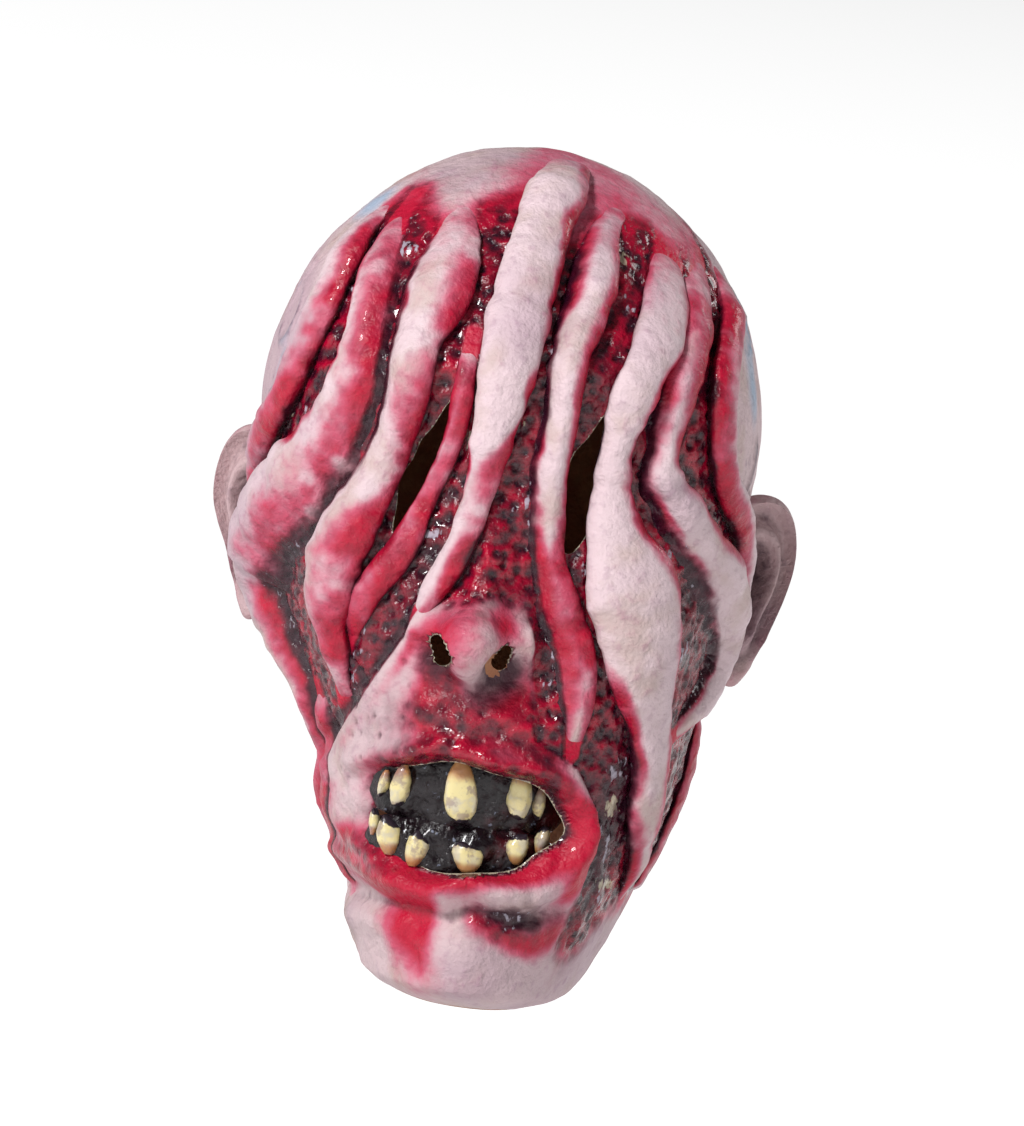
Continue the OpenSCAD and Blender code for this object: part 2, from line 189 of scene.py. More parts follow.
# Each row: bearing, height, half width, rise, and how far red creeps in from the left and the
# right edge (0 none, 1 to the crest, 2 right across).
STRIPS = {
    "temple_strip_left": dict(left="soft", right="steep", path=[
        (-58, 297, 5, 3, 0, 0.3), (-54, 278, 7, 5, 0, 0.5), (-52, 256, 8, 6, 0, 0.7),
        (-54, 234, 7, 6, 0, 0.8), (-58, 216, 6, 6, 0, 0.9), (-67, 204, 6, 6, 0, 0.9),
        (-80, 190, 5, 6, 0, 0.8), (-86, 173, 5, 5, 0, 0.7), (-84, 156, 3, 3, 0, 0.7)]),
    "cheek_strip_left": dict(left="steep", right="soft", path=[
        (-46, 297, 4, 3, 0.4, 0.8), (-41, 273, 6, 5, 0.3, 1.1), (-37, 252, 6, 6, 0.2, 1.2),
        (-36, 228, 7, 6, 0.1, 1.0), (-40, 207, 9, 7, 0.2, 1.0), (-51, 187, 12, 10, 0, 0.8),
        (-65, 170, 13, 14, 0, 0.6), (-75, 152, 13, 14, 0, 0.5), (-74, 132, 9, 10, 0, 0.6),
        (-70, 106, 5, 5, 0.3, 0.8), (-77, 72, 5, 4, 0.4, 1.0), (-76, 40, 4, 3, 0.3, 0.8)]),
    "inner_strip_left": dict(left="soft", right="steep", path=[
        (-31, 304, 4, 3, 0, 0.4), (-22, 280, 8, 6, 0.1, 0.6), (-21, 257, 9, 7, 0.1, 0.5),
        (-23, 240, 7, 6, 0, 0.6), (-23, 221, 6, 6, 0, 1.2), (-25, 206, 5, 6, 0, 0.9),
        (-29, 190, 6, 7, 0, 0.6), (-35, 174, 9, 9, 0, 0.7), (-41, 158, 10, 9, 0, 1.0),
        (-44, 142, 8, 7, 0, 1.3), (-45, 126, 5, 5, 0.2, 1.6), (-50, 104, 4, 3, 0.6, 1.8)]),
    "eye_strip_left": dict(left="steep", right="steep", path=[
        (-11, 248, 3, 3, 1, 1), (-11, 228, 2.5, 4, 1, 1.4), (-11, 214, 2.5, 4, 0.6, 1.6),
        (-12.5, 203, 2.5, 4, 0.4, 1.6), (-15, 193, 2.5, 4, 0.2, 1.7), (-18, 182, 3, 4, 0.1, 1.8),
        (-23, 166, 4, 4, 0.6, 2), (-32, 149, 4, 3, 1, 2), (-41, 130, 3, 2, 1, 2)]),
    "jaw_strip_left": dict(left="soft", right="soft", path=[
        (-62, 112, 4, 1.7, 1, 2), (-66, 90, 5, 2.2, 1, 2), (-73, 62, 5, 2.2, 0.8, 1.6),
        (-68, 34, 3, 1.7, 0.4, 1)]),
    "centre_strip": dict(left="steep", right="steep", path=[
        (24, 319, 6, 6, 0, 0.3), (12, 312, 7, 8, 0, 0.3), (4, 297, 8, 9, 0, 0.2), (1, 280, 8, 9, 0, 0.1),
        (-1, 260, 9, 10, 0, 0.1), (-2, 237, 8, 9, 0, 0.1), (-3, 215, 6, 8, 0, 0.2),
        (-4, 199, 4, 6, 0.1, 1.0), (-6, 184, 4, 6, 0.1, 0.9), (-9, 169, 4, 5, 0, 0.8),
        (-14, 155, 4, 4, 0, 0.8), (-18, 143, 4, 4, 0.1, 1.2)]),
    "nose_strip": dict(left="soft", right="steep", path=[
        (34, 308, 4, 3, 0.3, 0.6), (21, 290, 5, 5, 0.5, 0.5), (16, 267, 6, 6, 0.4, 0.4),
        (12, 244, 5, 6, 0.1, 0.5), (11, 221, 4, 6, 0.1, 0.5), (10, 203, 4, 6, 0.2, 0.4),
        (11, 184, 4, 5, 0.3, 0.6), (12, 170, 4, 4, 1, 1.2), (16, 154, 5, 4, 2, 2),
        (21, 138, 5, 4, 2, 2), (22, 120, 4, 4, 1, 1), (21, 103, 3, 3, 0.2, 0.2)]),
    "cheek_strip_right": dict(left="steep", right="steep", path=[
        (46, 298, 4, 3, 0.4, 0.6), (38, 276, 8, 7, 0.1, 0.2), (32, 254, 7, 8, 0, 0.2),
        (26, 233, 6, 7, 0, 0.3), (24, 217, 4, 7, 0, 0.3), (24, 202, 5, 7, 0, 0.35),
        (26, 184, 8, 9, 0, 0.3), (31, 166, 13, 11, 0, 0.22), (36, 148, 13, 11, 0, 0.22),
        (40, 130, 10, 9, 0.1, 0.3), (45, 108, 7, 6, 0.2, 0.4), (49, 86, 7, 6, 0.2, 0.5),
        (57, 64, 5, 5, 0.4, 0.7), (65, 43, 4, 3, 0.2, 0.3)]),
    "outer_strip_right": dict(left="soft", right="steep", path=[
        (64, 298, 4, 3, 0.6, 1), (49, 275, 6, 5, 0.8, 1.2), (40, 250, 6, 6, 0.6, 1.0),
        (36, 230, 5, 5, 0.5, 0.7), (35, 216, 4, 5, 0.6, 0.6), (36, 205, 5, 6, 0.3, 0.5),
        (44, 192, 7, 7, 0.1, 0.4), (53, 180, 8, 8, 0.1, 0.4), (65, 167, 9, 9, 0, 0.3),
        (76, 152, 8, 9, 0, 0.2), (77, 137, 7, 7, 0.1, 0.2), (67, 123, 4, 5, 0.3, 0.3),
        (54, 109, 3, 3, 0.6, 0.4)]),
    "temple_strip_right": dict(left="steep", right="soft", path=[
        (76, 293, 4, 3, 0.3, 0), (63, 268, 6, 5, 1, 0), (52, 245, 6, 6, 1.1, 0),
        (52, 222, 6, 6, 1.0, 0), (57, 206, 6, 6, 0.9, 0), (69, 194, 6, 6, 0.7, 0),
        (81, 179, 5, 6, 0.5, 0), (85, 166, 5, 6, 0.4, 0), (83, 153, 3, 4, 0.4, 0)]),
    "jaw_strip_right": dict(left="steep", right="soft", path=[
        (80, 124, 5, 2.2, 0.8, 0.2), (82, 98, 7, 2.8, 0.9, 0.1), (80, 72, 7, 2.8, 0.7, 0),
        (77, 50, 4, 1.7, 0.4, 0)]),
}


def along(path, share):
    """Rows at shares 0 to 1 along a path, on a Catmull-Rom curve through its rows."""
    path = np.asarray(path, float)
    last = len(path) - 1
    k = np.minimum((share * last).astype(int), last - 1)
    u = (share * last - k)[:, None]
    a, b, c, d = (path[np.clip(k + step, 0, last)] for step in (-1, 0, 1, 2))
    return 0.5 * (2 * b + (c - a) * u + (2 * a - 5 * b + 4 * c - d) * u**2
                  + (3 * b - a - 3 * c + d) * u**3)


CENTRES = [along(shape["path"], np.linspace(0, 1, 90)) for shape in STRIPS.values()]


def gap_beside(points, rows):
    """How far each point is outside the edge of a strip, whose middle the rows give."""
    flat = points.reshape(-1, 3)
    near, half = np.full(len(flat), FAR), np.zeros(len(flat))
    for middle, half_width in zip(skin(rows[:, 0], rows[:, 1]), rows[:, 2]):
        distance = np.linalg.norm(flat - middle, axis=1)
        closer = distance < near
        near[closer], half[closer] = distance[closer], half_width
    return (near - half).reshape(points.shape[:-1])


# ---- Relief and paint of the skin ---------------------------------------------------------------

# Bearings between which the skin has melted into strips, at falling heights.
MELT_Z = (20, 40, 72, 105, 132, 152, 173, 190, 204, 216, 234, 256, 278, 300)
MELT_LEFT = (-64, -74, -77, -72, -78, -86, -88, -82, -68, -59, -55, -53, -55, -60)
MELT_RIGHT = (70, 77, 80, 82, 80, 84, 84, 80, 69, 57, 52, 53, 64, 76)

# Left and right edge of the muzzle, the plate of sounder skin round the mouth.
MUZZLE_Z = (16, 24, 40, 60, 84, 98, 106, 126, 150)
MUZZLE_LEFT = (-34, -38, -46, -52, -53, -49, -46, -36, -22)
MUZZLE_RIGHT = (30, 36, 42, 47, 46, 38, 22, 18, 12)

# Red washes on the muzzle. Spots: strength, x, height, half width, half height and lean.
MUZZLE_RED_SPOTS = [
    (1.3, -6, 108, 24, 12), (1.0, 24, 108, 10, 22), (1.1, -15, 124, 8, 14), (1.3, -13, 141, 7, 10, -30),
    (0.9, 4, 148, 5, 10), (0.45, 14, 122, 8, 12), (0.7, -24, 58, 16, 9), (1.4, -13, 34, 8, 20, 18),
    (0.6, 0, 50, 8, 5), (0.5, 40, 60, 9, 22),
]
# Lines: strength, width, then the (x, height) points that they run through.
MUZZLE_RED_LINES = [
    (0.6, 2.5, (-44, 96), (-34, 118), (-24, 138)), (0.9, 4, (-38, 62), (-36, 50), (-20, 44), (-8, 44)),
    (0.8, 4, (42, 84), (44, 66), (40, 52)), (1.0, 5, (10, 40), (30, 32), (44, 40)),
    (0.9, 4, (-46, 78), (-48, 60), (-40, 42)),
]
# Blue airbrush at the temples: bearing, height, half width in degrees, half height.
BLUE_SPOTS = [(-62, 226, 7, 12), (-66, 292, 14, 9), (72, 243, 6, 18), (82, 268, 8, 8)]

MOUTH = np.array([0.5, 75.0])
MOUTH_W, MOUTH_H = 34.0, 19.5


def spot(p, x, z, wide, high, lean=0.0):
    """A soft oval mark, 1 in the middle, on the front of the head. lean turns it, in degrees."""
    c, s = math.cos(math.radians(lean)), math.sin(math.radians(lean))
    u, v = p[..., 0] - x, p[..., 2] - z
    front = smooth(10, -10, p[..., 1])
    return front * np.exp(-((u * c + v * s) / wide) ** 2 - ((v * c - u * s) / high) ** 2)


def line(p, *route, width):
    """A soft line through the listed (x, z) points on the front of the head."""
    near = np.full(p.shape[:-1], FAR)
    for (ax, az), (bx, bz) in zip(route, route[1:]):
        run = np.array([bx - ax, bz - az], float)
        to = np.stack([p[..., 0] - ax, p[..., 2] - az], axis=-1)
        share = np.clip(to @ run / (run @ run), 0, 1)
        near = np.minimum(near, np.linalg.norm(to - share[..., None] * run, axis=-1))
    return smooth(10, -10, p[..., 1]) * np.exp(-((near / width) ** 2))


def mouth_wave(turn):
    """How much wider than a plain oval the mouth is, by the turn round it."""
    return 1 + 0.05 * np.sin(3 * turn + 0.6) + 0.035 * np.sin(7 * turn + 2)


def mouth_gap(p):
    """Distance outside the mouth's edge; negative inside."""
    u, v = (p[..., 0] - MOUTH[0]) / MOUTH_W, (p[..., 2] - MOUTH[1]) / MOUTH_H
    return (np.hypot(u, v) / mouth_wave(np.arctan2(v, u)) - 1) * (MOUTH_W + MOUTH_H) / 2


class Ground:
    """What the skin is like at each of an array of places: how far it is from the strips and
    which region it belongs to."""

    def __init__(self, bearing, z):
        self.bearing = (np.asarray(bearing, float) + 180) % 360 - 180
        self.z = np.broadcast_to(np.asarray(z, float), self.bearing.shape)
        self.p = skin(self.bearing, self.z)
        p, b = self.p, self.bearing
        self.gap = np.full(b.shape, 99.0)
        for rows in CENTRES:
            self.gap = np.minimum(self.gap, gap_beside(p, rows))
        ragged = 3 * lumps(p, 9, 3)
        inside = (smooth(-2, 3, b - np.interp(self.z, MELT_Z, MELT_LEFT) + ragged)
                  * smooth(-2, 3, np.interp(self.z, MELT_Z, MELT_RIGHT) - b + ragged))
        top = smooth(302, 280, self.z + 1.5 * ragged + 6 * np.sin(np.radians(9 * b)))
        low = smooth(12, 34, self.z - 26 * smooth(40, 60, b) + ragged)
        self.from_left = p[..., 0] - np.interp(self.z, MUZZLE_Z, MUZZLE_LEFT)
        self.from_right = np.interp(self.z, MUZZLE_Z, MUZZLE_RIGHT) - p[..., 0]
        self.muzzle = (smooth(-0.8, 0.8, self.from_left) * smooth(-2, 2, self.from_right)
                       * smooth(156, 142, self.z + 2 * ragged) * (p[..., 1] < 0))
        chin = smooth(40, 24, self.z) * smooth(-46, -38, p[..., 0]) * smooth(48, 38, p[..., 0])
        self.melt = inside * top * low * (1 - self.muzzle) * (1 - chin) * (np.abs(b) < 92)
        self.gore = self.melt * smooth(-0.5, 1.2, self.gap)
        self.lip = mouth_gap(p)
        self.rear = smooth(80, 100, np.abs(b))
        self.wave = np.cos(np.radians((np.abs(b) + 7 * lumps(p, 55, 31)) * 360 / 24))
        self.folded = self.rear * smooth(316, 270, self.z) * smooth(40, 110, self.z)
        self.holes = smooth(0.35, 0.1, cells(p, 6, 23)) * spot(p, -36, 108, 18, 34)
        self.fold = self.folded * smooth(-0.2, -0.95, self.wave)
        self.rough = lumps(p, 6, 5) + 0.5 * lumps(p, 3, 6)
        self.pits = smooth(0.42, 0.12, cells(p, 4.2, 11)) + 0.4 * smooth(0.4, 0.1, cells(p, 2.3, 17))

    def form(self):
        """Broad height of the nose, lips, chin and muzzle over the smooth skin."""
        p = self.p
        d = 7 * spot(p, -7, 138, 8, 9) + 5 * spot(p, -24, 143, 6, 9, -20) + 5 * spot(p, 13, 141, 6, 9, 15)
        d -= 7 * spot(p, -16.5, 133, 5, 4.5) + 8 * spot(p, 5, 131, 5.5, 5.5) + 3 * spot(p, -5, 124, 16, 5)
        d += 2.5 * line(p, (-5, 128), (-3, 118), (-2, 108), width=4) - 2.5 * spot(p, 0, 105, 26, 4)
        front = smooth(0, -10, p[..., 1])
        roll = np.exp(-(((self.lip - 8) / 5) ** 2)) * self.muzzle
        d += roll * (3.8 + 1.6 * lumps(p, 9, 24)) - 3.2 * smooth(4, 0, self.lip) * (self.lip > -9) * front
        d += 4.2 * line(p, (-40, 54), (-22, 47), (-6, 46), (6, 53), (14, 48), (27, 48), (39, 58), (43, 76),
                        width=4)
        d -= 3.6 * line(p, (-38, 40), (-14, 39), (0, 38), (8, 44), (24, 41), (38, 47), width=3.5)
        d += 3.0 * line(p, (-34, 30), (-22, 33), (-16, 28), width=6) + 3.5 * spot(p, 8, 27, 14, 8)
        d -= 2.4 * line(p, (-10, 38), (-13, 28), (-9, 18), width=3)
        edge = smooth(40, 60, self.z) * smooth(150, 138, self.z) * front
        d += self.muzzle * smooth(0, 2, self.from_left) * edge * 1.8
        return d - 1.6 * smooth(4, 0, np.abs(self.from_left + 2.5)) * edge

    def grain(self):
        """Pits, lumps, folds and wrinkles."""
        p = self.p
        d = (1 - self.gore) * (0.5 * lumps(p, 16, 8) + 0.14 * lumps(p, 4.5, 9))
        d += self.gore * (0.9 * self.rough - 0.6 - 1.1 * self.pits)
        wet = spot(p, -4, 108, 24, 11) + 0.7 * smooth(12, 4, self.lip)
        torn = 1.2 * self.rough - 0.5 * self.pits
        d += self.muzzle * (0.4 * lumps(p, 7, 21) - 1.0 * self.holes + wet * torn)
        d += 1.1 * self.veins()
        d += self.folded * (1.9 * self.wave + 1.6 * lumps(p * [1, 1, 0.6], 20, 32))
        crown = smooth(268, 292, self.z) * smooth(40, -30, p[..., 1])
        return np.maximum(d + 0.3 * crown * lumps(p * [1, 1, 3.2], 7, 33), DEEPEST)

    def veins(self):
        """Branching ridges at the temples."""
        p = self.p
        branch = np.abs(lumps(p * [1, 1, 0.55], 17, 41) + 0.3 * lumps(p, 6, 42))
        side = smooth(50, 66, np.abs(self.bearing)) * smooth(150, 185, self.z) * smooth(305, 280, self.z)
        side = side * smooth(140, 105, np.abs(self.bearing)) * smooth(-0.2, 0.5, lumps(p, 30, 43))
        ring = np.exp(-(((np.hypot((self.bearing + 70) * 1.5, (self.z - 247) * 0.8) - 9) / 2) ** 2))
        return (smooth(0.12, 0.02, branch) * side + 0.9 * ring) * (1 - self.melt)

    def blue(self):
        """Soft blue airbrush at the temples."""
        total = 0
        for bearing, z, wide, high in BLUE_SPOTS:
            total = total + np.exp(-(((self.bearing - bearing) / wide) ** 2) - ((self.z - z) / high) ** 2)
        return total * (1 - self.melt)

    def paint(self):
        """Colours for the paint attributes: (blood, gore, painted shade and dark paint) and (chalk, vein,
        bone). The third channel is partly painted shade, in pits, creases, nostrils, fold valleys and beside
        the strips, and partly dark maroon paint.
        """
        p, z = self.p, self.z
        drift = lumps(p, 30, 51)
        patch = lumps(p, 12, 52)
        near_melt = smooth(10, 0, self.gap) * self.melt
        blood = np.maximum(self.gore, 0.9 * self.melt)
        blood += 0.45 * smooth(262, 296, z) * smooth(-34, 0, self.bearing) * smooth(75, 40, self.bearing)
        blood += 0.55 * spot(p, -44, 282, 7, 22, 12) + 0.35 * spot(p, -12, 296, 16, 8)
        muzzle = 1.2 * smooth(13, 3, self.lip) * smooth(-40, -24, p[..., 0] + 0.4 * (z - 75))
        for strength, *place_and_size in MUZZLE_RED_SPOTS:
            muzzle = muzzle + strength * spot(p, *place_and_size)
        for strength, width, *route in MUZZLE_RED_LINES:
            muzzle = muzzle + strength * line(p, *route, width=width)
        muzzle *= 1 - spot(p, -40, 100, 10, 24, -15) * 0.8
        blood = mix(blood, muzzle * (0.85 + 0.3 * patch), self.muzzle + smooth(30, 20, z) * (1 - self.muzzle))
        wet_lip = smooth(14, 4, self.lip) * smooth(60, 80, z) * smooth(40, 26, np.abs(p[..., 0] - 2))
        wet_lip = wet_lip + spot(p, -4, 108, 24, 11) + 0.7 * spot(p, -30, 56, 14, 9)
        gore = np.maximum(self.gore, 0.8 * np.clip(wet_lip, 0, 1) * self.muzzle)
        gore = np.maximum(gore, 0.7 * spot(p, 24, 40, 16, 7, 8) + 0.8 * spot(p, 22, 118, 8, 22))
        # Painted shade and dark paint: random dark maroon patches in the grooves, and painted shade in their
        # pits.
        painted_shade_and_dark_paint = self.gore * (0.18 + 0.45 * drift + 0.3 * patch + 0.3 * smooth(0.5, 1.5, self.pits))
        # Painted shade in the grooves close beside the strips, and darker towards the bottom.
        painted_shade_and_dark_paint += self.gore * 0.5 * smooth(3.0, 0.4, self.gap) + 0.2 * self.gore * smooth(120, 90, z)
        # Painted shade in the groove along the muzzle's left edge.
        rim = np.exp(-(((self.from_left + 2) / 2.6) ** 2)) * smooth(30, 44, z) * smooth(152, 140, z)
        painted_shade_and_dark_paint += 0.9 * rim * (p[..., 1] < 0)
        # Dark round the mouth's edge, where the skin dips into the mouth: dark mouth paint and painted shade.
        painted_shade_and_dark_paint += 0.9 * smooth(3.5, 0, self.lip) * (self.lip > -9) * (p[..., 1] < 0)
        # Painted shade in the crease under the lower lip and in the nostril hollows.
        painted_shade_and_dark_paint += 0.8 * spot(p, 24, 41, 16, 6, 8) + 1.2 * spot(p, -17, 130, 7, 7) + 1.3 * spot(p, 7, 129, 7, 7)
        # Painted shade in the crease under the nose.
        painted_shade_and_dark_paint += 0.6 * line(p, (-24, 112), (-8, 106), (12, 106), (26, 100), width=3.5)
        # Dark in the holes of the left plate: dark red paint and painted shade.
        painted_shade_and_dark_paint += 0.6 * self.muzzle * self.holes
        # Painted shade in the crease under the lower lip.
        painted_shade_and_dark_paint += 0.45 * line(p, (-34, 38), (-14, 41), (0, 39), (8, 44), (24, 41), width=2.5)
        # Painted shade under the nose, and a darker patch above the mouth's right corner.
        painted_shade_and_dark_paint += 0.7 * spot(p, -6, 119, 12, 8) + 0.5 * spot(p, 30, 92, 6, 12)
        # Painted shade in the valleys of the rear's folds, patchy.
        painted_shade_and_dark_paint += 0.45 * self.fold * smooth(0.5, -0.5, drift)
        blood += 0.42 * self.fold * smooth(-0.5, 0.4, lumps(p, 26, 53))
        chalk = self.gore * smooth(-0.1, 0.7, self.rough) * smooth(-0.3, 0.5, patch + 0.4 * drift)
        chalk += 0.8 * spot(p, 20, 42, 12, 5)
        chalk += 0.7 * line(p, (-46, 76), (-46, 58), (-40, 44), width=3)
        aside, veins = np.abs(self.bearing), self.veins()
        # Darker paint on the veins, and patchy darkening towards the sides of the head.
        painted_shade_and_dark_paint += 0.35 * veins + 0.3 * smooth(0.0, 0.6, drift) * smooth(50, 70, aside) * (1 - self.melt)
        bruise = smooth(0.15, 0.6, patch) * smooth(52, 66, aside) * smooth(215, 235, z) * smooth(300, 275, z)
        vein = 0.9 * self.blue() + 0.4 * veins + 0.3 * bruise * (1 - self.melt)
        bone = 0.8 * self.gore * smooth(0.45, 0.75, lumps(p, 14, 55))
        bone += 0.2 * smooth(-0.2, 0.6, drift) * (1 - self.melt) * (1 - near_melt)
        return (np.stack([blood, gore, painted_shade_and_dark_paint], axis=-1), np.stack([chalk, vein, bone], axis=-1))


# ---- Meshes -------------------------------------------------------------------------------------


def new_piece(name, points, faces, material, paint=None, sharp=45):
    """A mesh object from points in millimetres, with the paint attributes if they are given."""
    mesh = bpy.data.meshes.new(name)
    mesh.from_pydata((np.asarray(points).reshape(-1, 3) * MM).tolist(), [], faces)
    mesh.validate()
    if paint is not None:
        for label, values in zip(("paint", "marks"), paint):
            colour = np.ones((len(mesh.vertices), 4), np.float32)
            colour[:, :3] = np.clip(values.reshape(-1, 3), 0, 1)
            layer = mesh.attributes.new(label, "FLOAT_COLOR", "POINT")
            layer.data.foreach_set("color", colour.ravel())
    mesh.materials.append(material)
    piece = bpy.data.objects.new(name, mesh)
    bpy.context.scene.collection.objects.link(piece)
    finish_mesh(piece, sharp)
    return piece


def finish_mesh(piece, sharp):
    """Smooth shading, with edges sharper than the given angle left crisp."""
    mesh = piece.data
    mesh.polygons.foreach_set("use_smooth", np.ones(len(mesh.polygons), bool))
    mesh.set_sharp_from_angle(angle=math.radians(sharp))
    mesh.update()


def place(piece, body="head_shell", nodes=()):
    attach(piece, body)
    if nodes:
        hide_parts(*nodes)
    return piece


def grid_faces(rows, columns, first=0, closed=False):
    """Quads of a grid of points stored row by row; closed joins the last column to the first."""
    wide = columns if closed else columns - 1
    r, c = np.meshgrid(np.arange(rows - 1), np.arange(wide), indexing="ij")
    a = first + r * columns + c
    b = first + r * columns + (c + 1) % columns
    return np.stack([a, b, b + columns, a + columns], axis=-1).reshape(-1, 4).tolist()


def tube_faces(rings, sides):
    """Quads and end caps of a closed tube of rings."""
    faces = grid_faces(rings, sides, closed=True)
    return faces + [list(range(sides))[::-1], [(rings - 1) * sides + k for k in range(sides)]]


# ---- Head shell ---------------------------------------------------------------------------------

ROWS = 300
COARSE = 3
ROUNDED_HEM, HEM_TUCK = 0.012, 1.2
OVER = 150.0


def row_heights(bearing, share, inset):
    """Heights that are evenly spread along the skin from the hem to the crown."""
    low, top = hem(bearing), HEAD_H - inset
    run = share * (DOME_FROM - low + OVER)
    over = np.sin(np.clip((run + low - DOME_FROM) / OVER, 0, 1) * np.pi / 2)
    return np.where(run < DOME_FROM - low, low + run, DOME_FROM + (top - DOME_FROM) * over)


def slit_shift(p):
    """Moves points back from the middle of the rear, so that the slit stands slightly open."""
    side = np.where(p[..., 0] >= 0, 1, -1)
    open_by = smooth(SLIT_TOP, SLIT_TOP - 6, p[..., 2]) * (0.5 + 1.3 * smooth(SLIT_TOP, HEM_BACK, p[..., 2]))
    shift = side * open_by * np.exp(-np.abs(p[..., 0]) / 6) * (p[..., 1] > 30)
    return p + np.stack([shift, 0 * shift, 0 * shift], axis=-1)


def shell(name, start, stop, columns, material, lining):
    """Part of the head shell between two bearings: a painted outer face and a plain inner one,
    joined along the hem and both sides."""
    share = np.arange(ROWS) / ROWS
    bearings = np.linspace(start, stop, columns * COARSE + 1)
    b, s = np.meshgrid(bearings, share)
    z = row_heights(b, s, 0)
    ground = Ground(b, z)
    edge = smooth(0, ROUNDED_HEM, s)
    rise = np.maximum(ground.form() + ground.grain(), DEEPEST)
    outer = slit_shift(ground.p + outward(b, z) * (rise * edge - HEM_TUCK * (1 - edge))[..., None])
    bi, si = np.meshgrid(bearings[::COARSE], share[::COARSE])
    zi = row_heights(bi, si, WALL)
    inner = slit_shift(skin(bi, zi, WALL))
    top_out, top_in = [0, 0, HEAD_H + 0.3], [0, 0, HEAD_H - WALL]
    top_out[0] = top_in[0] = float(skin(start, HEAD_H)[0])

    wide, narrow = b.shape[1], bi.shape[1]
    count = ROWS * wide
    crown, base = count, count + 1
    inner_crown = base + bi.size
    points = np.concatenate([outer.reshape(-1, 3), [top_out], inner.reshape(-1, 3), [top_in]])
    faces = grid_faces(ROWS, wide)
    last = (ROWS - 1) * wide
    faces += [[last + c, last + c + 1, crown] for c in range(wide - 1)]
    inside = [f[::-1] for f in grid_faces(len(bi), narrow, base)]
    last = base + (len(bi) - 1) * narrow
    inside += [[last + c + 1, last + c, inner_crown] for c in range(narrow - 1)]
    # hem, then the two sides
    for k in range(narrow - 1):
        run = [COARSE * k + j for j in range(COARSE + 1)]
        inside.append(run[::-1] + [base + k, base + k + 1])
    for side in (0, 1):
        for k in range(len(bi)):
            run = [(COARSE * k + j) * wide + side * (wide - 1) for j in range(COARSE + 1)]
            run = [v if v < count else crown for v in run]
            low = base + k * narrow + side * (narrow - 1)
            high = low + narrow if k < len(bi) - 1 else inner_crown
            ring = run + [high, low]
            inside.append(ring if side == 0 else ring[::-1])
    paints = [np.concatenate([v.reshape(-1, 3), v.reshape(-1, 3)[-1:], np.zeros((bi.size + 1, 3))])
              for v in ground.paint()]
    piece = new_piece(name, points, faces + inside, material, paints)
    piece.data.materials.append(lining)
    index = np.zeros(len(piece.data.polygons), np.int32)
    index[len(faces):] = 1
    piece.data.polygons.foreach_set("material_index", index)
    return piece


# ---- Shader maths -------------------------------------------------------------------------------


class Shade:
    """A socket in a material. Python's operators on it add the nodes that work them out."""

    def __init__(self, tree, socket=None):
        self.tree, self.socket = tree, socket

    def add(self, kind, settings=None, sockets=None, output=0):
        """Output of a new node, whose settings are set before its sockets."""
        node = self.tree.nodes.new("ShaderNode" + kind)
        for key, value in (settings or {}).items():
            setattr(node, key, value)
        for key, value in (sockets or {}).items():
            target = next((s for s in node.inputs if s.identifier == key), None) or node.inputs[key]
            if isinstance(value, Shade):
                self.tree.links.new(value.socket, target)
            elif target.type == "RGBA":
                target.default_value = (*value[:3], 1)
            else:
                target.default_value = value
        return Shade(self.tree, node.outputs[output]) if node.outputs else None

    def maths(self, operation, *values):
        """Math on numbers alone, and Vector Math as soon as one value is a colour or a vector."""
        wide = any(v.socket.type != "VALUE" if isinstance(v, Shade) else isinstance(v, tuple) for v in values)
        if wide:
            values = [(v, v, v) if isinstance(v, (int, float)) else v for v in values]
        first = "Vector" if wide else "Value"
        names = [first, first + "_001", first + "_002"]
        return self.add("VectorMath" if wide else "Math", {"operation": operation}, dict(zip(names, values)))

    def __add__(self, other):
        return self.maths("ADD", self, other)

    def __sub__(self, other):
        return self.maths("SUBTRACT", self, other)

    def __rsub__(self, other):
        return self.maths("SUBTRACT", other, self)

    def __mul__(self, other):
        return self.maths("MULTIPLY", self, other)

    __radd__, __rmul__ = __add__, __mul__

    def step(self, low, high):
        """0 below low, 1 above high, and a smooth step between."""
        if low > high:
            return 1 - self.step(high, low)
        return self.add("MapRange", {"interpolation_type": "SMOOTHSTEP"},
                        {"Value": self, "From Min": low, "From Max": high})

    def blend(self, colour, mask):
        """This colour, turned into another where the mask is 1."""
        return self.add("Mix", {"data_type": "RGBA"},
                        {"Factor_Float": mask, "A_Color": self, "B_Color": colour}, output=2)

    def parts(self):
        """The three numbers of a colour."""
        first = self.add("SeparateColor", sockets={"Color": self})
        return [Shade(self.tree, s) for s in first.socket.node.outputs]

    def noise(self, size, detail=2.0, stretch=(1, 1, 1)):
        """Soft noise from 0 to 1 on this vector, with lumps about size millimetres across."""
        at = self * stretch if stretch != (1, 1, 1) else self
        return at.add("TexNoise", sockets={"Vector": at, "Scale": 1 / (size * MM), "Detail": detail})

    def pits(self, size, feature="F1"):
        return self.add("TexVoronoi", {"feature": feature}, {"Vector": self, "Scale": 1 / (size * MM)},
                        output="Distance")


def new_material(name):
    """A blank material, and its object coordinates."""
    material = bpy.data.materials.new(name)
    material.use_nodes = True
    material.node_tree.nodes.clear()
    return material, Shade(material.node_tree).add("TexCoord", output="Object")


